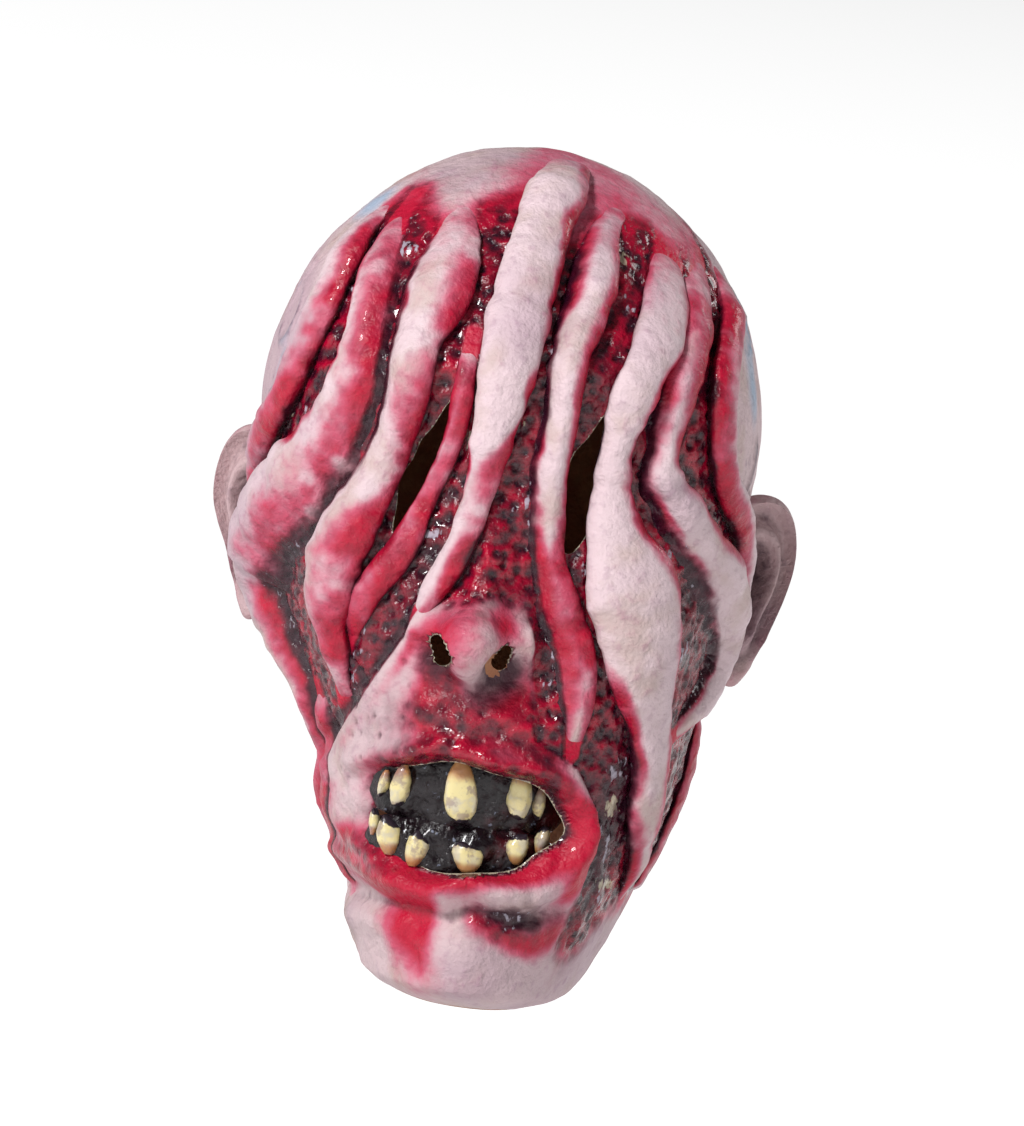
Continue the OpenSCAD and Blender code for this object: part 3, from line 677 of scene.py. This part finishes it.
def coat_with(at, colour, roughness, height, depth, coat=0.0, **fixed):
    """Ends a material in a Principled shader. height is turned into bumps depth millimetres deep."""
    normal = at.add("Bump", sockets={"Strength": 1.0, "Distance": depth * MM, "Height": height})
    sockets = {"Base Color": colour, "Roughness": roughness, "Normal": normal, "Coat Weight": coat}
    sockets.update({key.replace("_", " ").title().replace("Ior", "IOR"): v for key, v in fixed.items()})
    surface = at.add("BsdfPrincipled", sockets=sockets)
    at.add("OutputMaterial", sockets={"Surface": surface})


CRIMSON, PINK = (0.42, 0.001, 0.026), (0.50, 0.10, 0.17)
# MAROON_BLACK serves both the dark maroon paint and the painted shade.
OLD_BLOOD, MAROON_BLACK = (0.13, 0.001, 0.012), (0.020, 0.003, 0.010)


def painted_latex(name, pale, beige, mauve):
    """Latex airbrushed by the paint and marks attributes of the mesh, with painted shade in the gory pits and
    wherever the third paint channel holds it.
    """
    material, at = new_material(name)
    blood, gore, painted_shade_and_dark_paint = at.add("Attribute", {"attribute_name": "paint"}, output="Color").parts()
    chalk, vein, bone = at.add("Attribute", {"attribute_name": "marks"}, output="Color").parts()
    drift, mottle = at.noise(60, 2.0), at.noise(20, 4.0)
    crinkle, pores = at.noise(4.0, 4.0), at.noise(1.5, 2.0)
    streak = at.noise(1.8, 5.0, (1, 1, 0.4))
    pit, speck = at.pits(4.4, "SMOOTH_F1"), at.pits(2.2)
    skin_colour = at.add("RGB")
    skin_colour.socket.default_value = (*pale, 1)
    colour = skin_colour.blend(beige, mottle.step(0.46, 0.66) * 0.7)
    colour = colour.blend(mauve, drift.step(0.46, 0.66) * 0.5 + crinkle.step(0.54, 0.7) * 0.3)
    colour = colour.blend((0.26, 0.42, 0.58), (vein + mottle * 0.5 - 0.35).step(0.1, 0.9) * 0.75)
    red = blood + (mottle - 0.5) * 0.5 + (crinkle - 0.5) * 0.35
    colour = colour.blend(PINK, red.step(0.0, 0.62))
    colour = colour.blend(CRIMSON, red.step(0.32, 0.98))
    # The gory pits: their hollows get painted shade, matching the bumps, and in patches the ridges between
    # them keep a lighter red as painted light.
    ridge = pit.step(0.3, 0.75)
    hollow = pit.step(0.58, 0.2) * 0.85 + speck.step(0.5, 0.1) * 0.3
    colour = colour.blend(OLD_BLOOD, gore * (0.8 - 0.65 * ridge * mottle.step(0.38, 0.58)))
    colour = colour.blend(MAROON_BLACK, gore * hollow)
    # Painted shade and dark maroon paint from the third paint channel, broken up by noise.
    dark = painted_shade_and_dark_paint + (crinkle - 0.5) * 0.7 + (mottle - 0.5) * 0.6
    colour = colour.blend(MAROON_BLACK, dark.step(0.15, 0.95) * 0.92)
    brushed = (chalk * 0.7 + (streak - 0.5) * 2.6 + (crinkle - 0.5) * 1.2 + ridge * 0.2).step(0.7, 1.0)
    brushed = brushed * chalk.step(0.05, 0.3)
    colour = colour.blend((0.44, 0.40, 0.48), brushed * 0.75)
    flaked = (bone + (streak - 0.5) * 1.8).step(0.55, 0.75) * bone.step(0.1, 0.3)
    colour = colour.blend((0.52, 0.46, 0.33), flaked * 0.75)
    wet = (blood * 0.4 + gore * 0.7).step(0.1, 1.0)
    roughness = 0.58 - wet * 0.32 + (pores - 0.5) * 0.25 + brushed * 0.2
    height = crinkle * 1.2 + pores * 0.4 + gore * (pit * 2.6 + speck * 0.3) + brushed * 0.2
    coat_with(at, colour, roughness, height, 1.0, coat=wet * 0.35, coat_roughness=0.06,
              specular_ior_level=0.3)
    return material


def raw_latex():
    """The unpainted inside."""
    material, at = new_material("raw_latex")
    base = at.add("RGB")
    base.socket.default_value = (0.27, 0.10, 0.045, 1)
    mottle, pores = at.noise(16, 4.0), at.noise(1.4, 3.0)
    colour = base.blend((0.36, 0.17, 0.08), mottle.step(0.45, 0.7))
    coat_with(at, colour, 0.6 + (mottle - 0.5) * 0.2, pores + mottle * 0.4, 0.4)
    return material


def gum_latex():
    """Black-red gum paint with a wet gloss and a few pale flecks."""
    material, at = new_material("gum_latex")
    base = at.add("RGB")
    base.socket.default_value = (0.006, 0.002, 0.004, 1)
    mottle, crinkle = at.noise(9, 4.0), at.noise(2.4, 4.0)
    aside = at.add("SeparateXYZ", sockets={"Vector": at})
    colour = base.blend((0.07, 0.002, 0.006), (mottle + aside * 9).step(0.55, 0.95))
    colour = colour.blend((0.25, 0.28, 0.38), crinkle.step(0.66, 0.72) * 0.5)
    coat_with(at, colour, 0.3 + (crinkle - 0.5) * 0.3, crinkle + mottle * 2, 1.0, coat=0.25,
              coat_roughness=0.08, specular_ior_level=0.3)
    return material


def tooth_paint():
    """Cream enamel that turns brown at the root and is broken by black paint at the bite."""
    material, at = new_material("tooth_enamel_paint")
    root, bite, stain = at.add("Attribute", {"attribute_name": "paint"}, output="Color").parts()
    mottle, crinkle = at.noise(4.5, 3.0), at.noise(1.6, 4.0)
    base = at.add("RGB")
    base.socket.default_value = (0.66, 0.56, 0.27, 1)
    colour = base.blend((0.50, 0.45, 0.34), mottle.step(0.45, 0.65) * 0.8)
    colour = colour.blend((0.38, 0.15, 0.05), (root + (mottle - 0.5) * 0.6).step(0.15, 0.8) * 0.9)
    colour = colour.blend((0.20, 0.13, 0.15), (stain + (crinkle - 0.5) * 0.9).step(0.55, 0.8) * 0.6)
    bitten = (bite + (crinkle - 0.5) * 0.7 + (mottle - 0.5) * 0.5).step(0.55, 0.68)
    colour = colour.blend((0.02, 0.012, 0.02), bitten)
    coat_with(at, colour, 0.34 + (crinkle - 0.5) * 0.2, crinkle * 0.5 + mottle, 0.35, coat=0.35,
              coat_roughness=0.12)
    return material


PALE, BEIGE, MAUVE = (0.54, 0.40, 0.42), (0.45, 0.34, 0.31), (0.33, 0.21, 0.27)
skin_paint = painted_latex("pale_latex", PALE, BEIGE, MAUVE)
strip_paint = painted_latex("strip_latex", (0.60, 0.46, 0.49), BEIGE, MAUVE)
ear_paint = painted_latex("ear_latex", (0.46, 0.32, 0.33), (0.38, 0.27, 0.26), (0.27, 0.17, 0.21))
lining, gum_paint, enamel = raw_latex(), gum_latex(), tooth_paint()


# ---- Face and rear ------------------------------------------------------------------------------


def prism(name, outline, front=-160.0, back=-40.0):
    """A block right through the face, with the listed (x, z) outline."""
    n = len(outline)
    points = [(x, y, z) for y in (front, back) for x, z in outline]
    faces = [[k, (k + 1) % n, n + (k + 1) % n, n + k] for k in range(n)]
    faces += [list(range(n))[::-1], list(range(n, 2 * n))]
    mesh = bpy.data.meshes.new(name)
    mesh.from_pydata((np.array(points) * MM).tolist(), [], faces)
    mesh.update()
    piece = bpy.data.objects.new(name, mesh)
    bpy.context.scene.collection.objects.link(piece)
    return piece


def slot_outline(circles, steps=40):
    """Outline round a chain of (x, z, radius) circles, a little uneven as a hand-cut edge is."""
    rows = along(circles, np.linspace(0, 1, steps))
    run = unit(np.gradient(rows[:, :2], axis=0))
    side = np.stack([-run[:, 1], run[:, 0]], axis=-1) * rows[:, 2:3]
    wobble = 1 + 0.10 * np.sin(np.arange(steps)[:, None] * 0.55)
    a = np.radians(np.linspace(-60, 60, 7))[:, None]
    near_end, far_end = (rows[k, :2] + way * (np.sin(a) * side[k] + np.cos(a) * run[k] * rows[k, 2] * 0.9)
                         for k, way in ((0, -1), (-1, 1)))
    return np.concatenate([rows[:, :2] - side * wobble, far_end, (rows[:, :2] + side * wobble)[::-1],
                           near_end]).tolist()


EYE_LEFT = [(-24, 222, 1.2), (-28.5, 207, 4.2), (-34, 190, 5.2), (-37, 172, 2.2)]
EYE_RIGHT = [(35, 229, 1.5), (30, 214, 5.5), (26.5, 200, 7.2), (26, 188, 6.5), (24, 176, 2.4)]
NOSTRIL_LEFT = [(-18, 137, 2.4), (-15, 131, 3.2)]
NOSTRIL_RIGHT = [(7, 137, 2.0), (5, 132, 2.8)]


def mouth_outline():
    turn = np.linspace(0, 2 * np.pi, 96, endpoint=False)
    ring = np.stack([MOUTH_W * np.cos(turn), MOUTH_H * np.sin(turn)], axis=-1)
    return (MOUTH + mouth_wave(turn)[:, None] * ring).tolist()


def cut(piece, outlines):
    """Cuts each outline right through a piece."""
    for outline in outlines:
        area = sum(a[0] * b[1] - b[0] * a[1] for a, b in zip(outline, outline[1:] + outline[:1]))
        knife = prism("knife", outline if area < 0 else outline[::-1])
        tool = piece.modifiers.new("cut", "BOOLEAN")
        tool.operation, tool.solver, tool.object = "DIFFERENCE", "MANIFOLD", knife
        bpy.context.view_layer.update()
        mesh = bpy.data.meshes.new_from_object(piece.evaluated_get(bpy.context.evaluated_depsgraph_get()))
        piece.modifiers.clear()
        piece.data = mesh
        bpy.data.objects.remove(knife)


def paint_edge_of_mouth(piece):
    """Wet dark red on the cut round the mouth, with painted shade over it."""
    count = len(piece.data.vertices)
    at, colour = np.empty(count * 3), np.empty(count * 4)
    piece.data.vertices.foreach_get("co", at)
    layer = piece.data.attributes["paint"].data
    layer.foreach_get("color", colour)
    at, colour = at.reshape(-1, 3) / MM, colour.reshape(-1, 4)
    edge = (mouth_gap(at) < 1.3) & (at[:, 1] < -50)
    # Blood, gore and painted shade on the cut's edge.
    colour[edge] = (1, 0.8, 0.7, 1)
    layer.foreach_set("color", colour.ravel())


face = shell("face_skin_painted", -90, 90, 90, skin_paint, lining)
cut(face, [slot_outline(EYE_LEFT), slot_outline(EYE_RIGHT), slot_outline(NOSTRIL_LEFT),
           slot_outline(NOSTRIL_RIGHT), mouth_outline()])
paint_edge_of_mouth(face)
finish_mesh(face, 50)
place(face, nodes=["face_skin"])

for hand, side, start, nodes in (("left", -1, 180, ["slit_flap_left", "rear_skin"]),
                                 ("right", 1, 90, ["slit_flap_right"])):
    half = shell("rear_half_" + hand, start, start + 90, 72, skin_paint, lining)
    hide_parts(*nodes)
    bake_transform(half)


# ---- Hanging strips -----------------------------------------------------------------------------

LENGTHWISE = 190
UNDERSIDE, END_SINK, EDGE_SINK = 2.75, 2.0, 2.6
STEEP = [(math.cos(math.radians(a)), (math.sin(math.radians(a)) + 0.5) / 1.5) for a in range(90, -41, -13)]
SOFT = [(1.5 * u, (1 + math.cos(math.pi * u)) / 2) for u in np.linspace(0, 1, 11)]


def strip(name):
    shape = STRIPS[name]
    share = np.linspace(0, 1, LENGTHWISE)
    rows = along(shape["path"], share)
    middle = skin(rows[:, 0], rows[:, 1])
    run = unit(np.gradient(middle, axis=0))
    right = unit(np.cross(outward(rows[:, 0], rows[:, 1]), run))
    left_side, right_side = (STEEP if shape[s] == "steep" else SOFT for s in ("left", "right"))
    profile = [(-e, h) for e, h in left_side[:0:-1]] + list(right_side)
    e, h = np.array(profile).T
    lie = np.linspace(-1, 1, len(e))
    fade = smooth(-0.02, 0.17, share) * smooth(1.01, 0.9, share)
    uneven = 1 + 0.10 * lumps(middle, 9, 61) + 0.05 * lumps(middle, 4, 62)
    half = (rows[:, 2] * 1.2 + 1.0) * (0.6 + 0.4 * fade) * uneven
    # each point is found on the skin beside the middle, by turning the bearing until it is abreast
    target = middle[:, None] + right[:, None] * (e * half[:, None])[..., None]
    bearing, z = np.repeat(rows[:, :1], len(e), axis=1), np.clip(target[..., 2], 1, HEAD_H - 0.6)
    for _ in range(4):
        here = skin(bearing, z)
        turn = skin(bearing + 0.5, z) - here
        bearing = bearing + 0.5 * np.sum((target - here) * turn, axis=-1) / np.sum(turn * turn, axis=-1)
    ground = Ground(bearing, z)
    out = outward(bearing, z)
    body = h * ((rows[:, 3] * 1.05 + 0.6) * fade)[:, None] * uneven[:, None]
    rough = 0.35 * lumps(ground.p, 5, 63) + 0.22 * lumps(ground.p, 2.4, 64) + 0.9 * lumps(ground.p, 15, 65)
    height = ground.form() + body + rough * smooth(0, 0.6, h) * fade[:, None]
    height -= EDGE_SINK * np.abs(lie) ** 6 + END_SINK * (1 - fade)[:, None]
    top = ground.p + out * height[..., None]
    below = ground.p[:, ::-4] + out[:, ::-4] * (ground.form()[:, ::-4] - UNDERSIDE)[..., None]
    below = below * 0.9 + below.mean(axis=1, keepdims=True) * 0.1
    rings = np.concatenate([top, below[:, 1:-1]], axis=1)
    sides = rings.shape[1]

    from_left, from_right = 1 + np.clip(e, -1, 1), 1 - np.clip(e, -1, 1)
    reach_l, reach_r = rows[:, 4:5] * 1.75, rows[:, 5:6] * 1.75
    wander = 0.25 * lumps(ground.p, 11, 66)
    blood = 0.9 * smooth(0.4, 0.1, h)
    for inward, reach in ((from_left, reach_l), (from_right, reach_r)):
        wash = smooth(1.05, 0, (inward + wander) / (reach + 0.12)) * smooth(0, 0.15, reach)
        blood = np.maximum(blood, wash)
    blood = blood * smooth(0, 0.2, share)[:, None] + 0.5 * smooth(0.2, 0, share)[:, None]
    blood = blood * np.clip(0.86 + 0.55 * lumps(ground.p, 12, 71) + 0.3 * lumps(ground.p, 4, 72), 0.3, 1)
    # Painted shade at the foot of the strip, where it meets the skin, stronger where the strip is red. Chalk
    # flecks also gather there.
    deep = smooth(0.7, 0.05, h + 0.25 * lumps(ground.p, 14, 68))
    painted_shade_and_dark_paint = deep * (0.5 + 0.65 * blood) * smooth(0, 0.25, share)[:, None]
    # Random dark maroon patches on the red are paint.
    painted_shade_and_dark_paint = painted_shade_and_dark_paint + 0.5 * blood * smooth(0.1, 0.7, lumps(ground.p, 10, 73))
    gore = 0.8 * smooth(0.4, 0.1, h + 0 * blood) + 0.25 * blood
    chalk = 0.5 * deep * smooth(0.1, 0.6, lumps(ground.p, 9, 67))
    none = np.zeros_like(blood)
    paints = []
    for values in ((blood, gore, painted_shade_and_dark_paint), (chalk, none, none)):
        layer = np.stack(values, axis=-1)
        paints.append(np.concatenate([layer, np.repeat(layer[:, :1], sides - len(e), axis=1)], axis=1))
    piece = new_piece(name + "_painted", rings, tube_faces(LENGTHWISE, sides), strip_paint, paints, 60)
    return place(piece, nodes=[name])


for strip_name in STRIPS:
    strip(strip_name)


# ---- Ears ---------------------------------------------------------------------------------------

# Edge of an ear: how far out from the head and how far above its middle.
EAR_EDGE = [(-6, 6), (-7, 18), (-5, 29), (1, 35), (9, 37), (17, 35), (23, 29), (26, 19), (26, 7), (23.5, -5),
            (20.5, -15), (18, -23), (16.5, -30), (11, -37), (4, -36), (-2, -30), (-7, -22), (-7, -10)]
EAR_Z = 168.0


def ear(name, side):
    """An ear with its rim, fold, hollow and lobe, flared out to the front, with painted shade in the hollow.
    """
    rings, around = 26, 96
    edge = np.array(EAR_EDGE + EAR_EDGE[:1], float)
    closed = np.concatenate([edge[-3:-1], edge, edge[1:3]])
    rim = along(closed, np.linspace(2 / (len(closed) - 1), 1 - 2 / (len(closed) - 1), around + 1)[:-1])
    heart = np.array([7.0, 3.0])
    r = np.linspace(0, 1, rings)[1:, None]
    s = heart[0] + (rim[:, 0] - heart[0]) * r
    if side < 0:
        s = s * (1 - 0.22 * smooth(8, -20, heart[1] + (rim[:, 1] - heart[1]) * r))
    t = heart[1] + (rim[:, 1] - heart[1]) * r
    free = smooth(-3, 6, s)
    lobe = smooth(-18, -27, t)
    height = 4.2 * np.exp(-(((r - 0.93) / 0.075) ** 2)) * free * (1 - 0.8 * lobe)
    groove = np.exp(-(((r - 0.76) / 0.08) ** 2)) * free
    height -= 1.4 * groove * (1 - lobe)
    height += 3.4 * np.exp(-(((r - 0.58) / 0.10) ** 2)) * smooth(2, 10, s + 0.15 * t) * (1 - lobe)
    height -= 9.0 * smooth(0.56, 0.2, r) * smooth(-24, -14, t)
    height += 2.6 * np.exp(-(((s - 1) / 4) ** 2 + ((t + 7) / 5) ** 2)) + 2.2 * lobe * (1 - r**4)
    at = np.stack([s, t, 0 * s], axis=-1)
    height = height + 0.5 * lumps(at, 9, 71) + 0.15 * lumps(at, 3, 72)
    back = -2.6 - 4.5 * (1 - r**2) + 0.4 * lumps(at, 12, 73)
    round_off = 1.5 * smooth(0.9, 1, r)
    outer, aft = height - round_off, back + round_off

    root = float(np.abs(skin(side * 92, EAR_Z)[0])) - 1.0
    away = np.array([side * 0.86, 0.51, 0.0])
    front = np.array([side * 0.51, -0.86, 0.0])
    up = unit(np.array([side * 0.05, 0.14, 1.0]))
    corner = np.array([side * root, 0.0, EAR_Z])

    def put(depth, s=s, t=t):
        return corner + away * s[..., None] + up * t[..., None] + front * depth[..., None]

    shape = s.shape
    middle_s, middle_t = np.full((1, 1), heart[0]), np.full((1, 1), heart[1])
    tip = put(np.full((1, 1), float(outer[0].mean()) - 0.2), middle_s, middle_t)
    tail = put(np.full((1, 1), float(aft[0].mean())), middle_s, middle_t)
    points = np.concatenate([put(np.broadcast_to(outer, shape)).reshape(-1, 3),
                             put(np.broadcast_to(aft, shape))[::-1].reshape(-1, 3),
                             tip.reshape(1, 3), tail.reshape(1, 3)])
    count = 2 * (rings - 1)
    faces = grid_faces(count, around, closed=True)
    last = (count - 1) * around
    faces += [[count * around, (k + 1) % around, k] for k in range(around)]
    faces += [[count * around + 1, last + k, last + (k + 1) % around] for k in range(around)]
    if side > 0:
        faces = [f[::-1] for f in faces]
    # Painted shade in the ear's hollow and in the groove inside the rim. The middle point of the hollow gets
    # it too.
    hollow = np.broadcast_to(smooth(0.7, 0.3, r) * smooth(-26, -16, t) + 0.6 * groove, shape)
    flush = np.broadcast_to(0.25 * smooth(0.8, 1, r) + 0 * s, shape)
    paint = np.stack([flush * 0.8, 0 * flush, 0.85 * hollow], axis=-1)
    plain = np.broadcast_to(np.array([0.1, 0.0, 0.05]), (*shape, 3))
    layer = np.concatenate([paint.reshape(-1, 3), plain.reshape(-1, 3), [[0, 0, 0.5], [0, 0, 0]]])
    piece = new_piece(name + "_painted", points, faces, ear_paint, [layer, 0 * layer], 70)
    return place(piece, nodes=[name])


ear("ear_left", -1)
ear("ear_right", 1)


# ---- Gums and teeth -----------------------------------------------------------------------------

UPPER_TEETH = [(-30, 83, 4.5, 9), (-23, 83, 7.5, 15), (-2, 84, 13, 22), (18, 86, 9.5, 17), (26.5, 84, 5, 12)]
LOWER_TEETH = [(-32, 68, 4, 9), (-25, 64, 9, 13), (-15, 61, 8.5, 12), (3, 61, 11.5, 11), (21.5, 66, 8, 11),
               (29, 70, 5.5, 10)]
BITE = 94.0
GUM_SETBACK, GUM_HALF_DEPTH = 6.0, 5.0


def bite_line(x):
    """Depth of the teeth's middle at a place across the mouth."""
    return -BITE + 0.011 * (x - MOUTH[0]) ** 2


def gum(name, middle, half_h, reach, teeth):
    """A lumpy bow of gum with a swelling round each tooth."""
    rings, sides = 110, 44
    x = MOUTH[0] + reach * np.linspace(-1, 1, rings)[:, None]
    fade = np.sqrt(np.clip(1 - ((x - MOUTH[0]) / (reach + 0.6)) ** 6, 0.01, 1))
    turn = np.linspace(0, 2 * np.pi, sides, endpoint=False)
    y = bite_line(x) + GUM_SETBACK - GUM_HALF_DEPTH * fade * np.cos(turn)
    z = middle + half_h * fade * np.sin(turn) + 0 * x
    p = np.stack([x + 0 * y, y, z], axis=-1)
    out = unit(np.stack([0 * y, -np.cos(turn) / GUM_HALF_DEPTH + 0 * x, np.sin(turn) / half_h + 0 * x],
                        axis=-1))
    swell = 1.3 * lumps(p, 5.5, 81) + 0.7 * lumps(p, 2.6, 82) - 1.2 * smooth(0.35, 0.1, cells(p, 5, 83))
    for tx, tz, wide, high in teeth:
        near = np.exp(-(((p[..., 0] - tx) / (wide * 0.62)) ** 2) - ((p[..., 2] - tz) / (high * 0.62)) ** 2)
        swell = swell + 2.0 * near * smooth(0.2, 0.8, -out[..., 1])
    points = p + out * (swell * fade)[..., None]
    piece = new_piece(name + "_painted", points, tube_faces(rings, sides), gum_paint, None, 80)
    return place(piece, nodes=[name])


def tooth(name, x, z, wide, high, up, seed):
    """An uneven tooth: narrow at the root and ragged at the bite."""
    rings, sides = 26, 32
    share = np.linspace(0, 1, rings)[:, None]
    turn = np.linspace(0, 2 * np.pi, sides, endpoint=False)
    girth = np.interp(share, [0, 0.12, 0.35, 0.6, 0.8, 0.93, 1], [0.30, 0.60, 0.88, 1.0, 0.88, 0.62, 0.25])
    flat = np.sign(np.cos(turn)) * np.abs(np.cos(turn)) ** 0.8
    around = np.stack([flat, np.sin(turn), 0 * turn], axis=-1)
    edge = girth * (1 + 0.10 * lumps(around * 1.3 + seed, 1.0, 91))
    bend = 0.10 * wide * np.sin(2.2 * share + seed)
    px = x + wide / 2 * edge * flat + bend
    py = bite_line(x) - 0.8 + 3.3 * edge * np.sin(turn) + 1.2 * (share - 0.5)
    ragged = 1.3 * lumps(np.stack([px, py, 0 * px + seed], axis=-1), 2.2, 92) * smooth(0.75, 1, share)
    slant = 0.22 * wide * math.sin(3.1 * seed) * smooth(0.5, 1, share) * flat * edge
    drop = (share - 0.5) * high + ragged + slant
    pz = z - drop if up else z + drop
    p = np.stack([px, py, pz], axis=-1)
    p = p + 0.22 * lumps(p, 2.5, 93)[..., None] * around
    faces = tube_faces(rings, sides)
    if up:
        faces = [f[::-1] for f in faces]
    root = smooth(0.55, 0.0, share) + 0 * px
    bite = (smooth(0.80, 1.02, share) if up else smooth(0.62, 0.98, share)) + 0 * px
    stain = 0.5 + 0.5 * lumps(p, 5, 94)
    layer = np.stack([root, bite, stain], axis=-1)
    piece = new_piece(name + "_painted", p, faces, enamel, [layer, 0 * layer], 60)
    return place(piece, nodes=[name])


gum("upper_gum", 87, 17, 37, UPPER_TEETH)
gum("lower_gum", 59, 14, 35, LOWER_TEETH)
for number, row in enumerate(UPPER_TEETH, 1):
    tooth(f"upper_tooth_{number}", *row, True, 1.7 * number)
for number, row in enumerate(LOWER_TEETH, 1):
    tooth(f"lower_tooth_{number}", *row, False, 11 + 2.3 * number)


# ---- Studio -------------------------------------------------------------------------------------

FLOOR_REACH, FLOOR_Z = 9, -0.3
HEAD_MIDDLE = (0, 0, 0.17)
LENS, SENSOR = 160, 36
AIM = Vector((0.0047, -0.035, 0.1666))
TILT, ROLL, AWAY = math.radians(1.2), math.radians(8), 1.853


def area_light(name, at, size, power):
    """A round soft light, in metres and watts, turned to the head."""
    data = bpy.data.lights.new(name, "AREA")
    data.shape, data.size, data.energy = "DISK", size, power
    light = bpy.data.objects.new(name, data)
    light.location = at
    light.rotation_euler = (Vector(HEAD_MIDDLE) - Vector(at)).to_track_quat("-Z", "Y").to_euler()
    bpy.context.scene.collection.objects.link(light)


def studio():
    floor = bpy.data.meshes.new("floor")
    corners = [(x * FLOOR_REACH, y * FLOOR_REACH, FLOOR_Z) for x, y in ((-1, -1), (1, -1), (1, 1), (-1, 1))]
    floor.from_pydata(corners, [], [(0, 1, 2, 3)])
    sheet = bpy.data.objects.new("floor", floor)
    bpy.context.scene.collection.objects.link(sheet)
    material, at = new_material("pale_floor")
    away = at.add("VectorMath", {"operation": "LENGTH"}, {"Vector": at}, output="Value")
    # The floor glows as painted light: dimly under the head and white further out.
    glow = at.add("RGB")
    glow.socket.default_value = (0.1, 0.1, 0.1, 1)
    surface = at.add("BsdfPrincipled", sockets={
        "Base Color": (0.88, 0.88, 0.88), "Roughness": 0.8, "Emission Strength": 1.0,
        "Emission Color": glow.blend((1, 1, 1), away.step(0.4, 1.5))})
    at.add("OutputMaterial", sockets={"Surface": surface})
    floor.materials.append(material)

    world = bpy.data.worlds.new("soft_box")
    bpy.context.scene.world = world
    world.use_nodes = True
    world.node_tree.nodes.clear()
    sky = Shade(world.node_tree).add("TexCoord", output="Generated")
    height = sky.add("SeparateXYZ", sockets={"Vector": sky}, output="Z")
    strength = 1.02 - 0.92 * height.step(0.05, 0.28)
    light = sky.add("Background", sockets={"Color": (1, 1, 1), "Strength": strength})
    sky.add("OutputWorld", sockets={"Surface": light})

    area_light("key", (-1.1, -1.5, 1.5), 0.45, 52)
    area_light("rim", (1.3, 0.9, 1.2), 0.6, 8)


def camera():
    data = bpy.data.cameras.new("camera")
    data.lens, data.sensor_width = LENS, SENSOR
    back = Vector((0, -math.cos(TILT), math.sin(TILT)))
    right = Vector((-math.sin(ROLL), 0, math.cos(ROLL))).cross(back).normalized()
    eye = bpy.data.objects.new("camera", data)
    turned = Matrix((right, back.cross(right), back)).transposed().to_4x4()
    eye.matrix_world = Matrix.Translation(AIM + back * AWAY) @ turned
    bpy.context.scene.collection.objects.link(eye)
    bpy.context.scene.camera = eye


studio()
camera()
bpy.context.scene.view_settings.view_transform = "Standard"
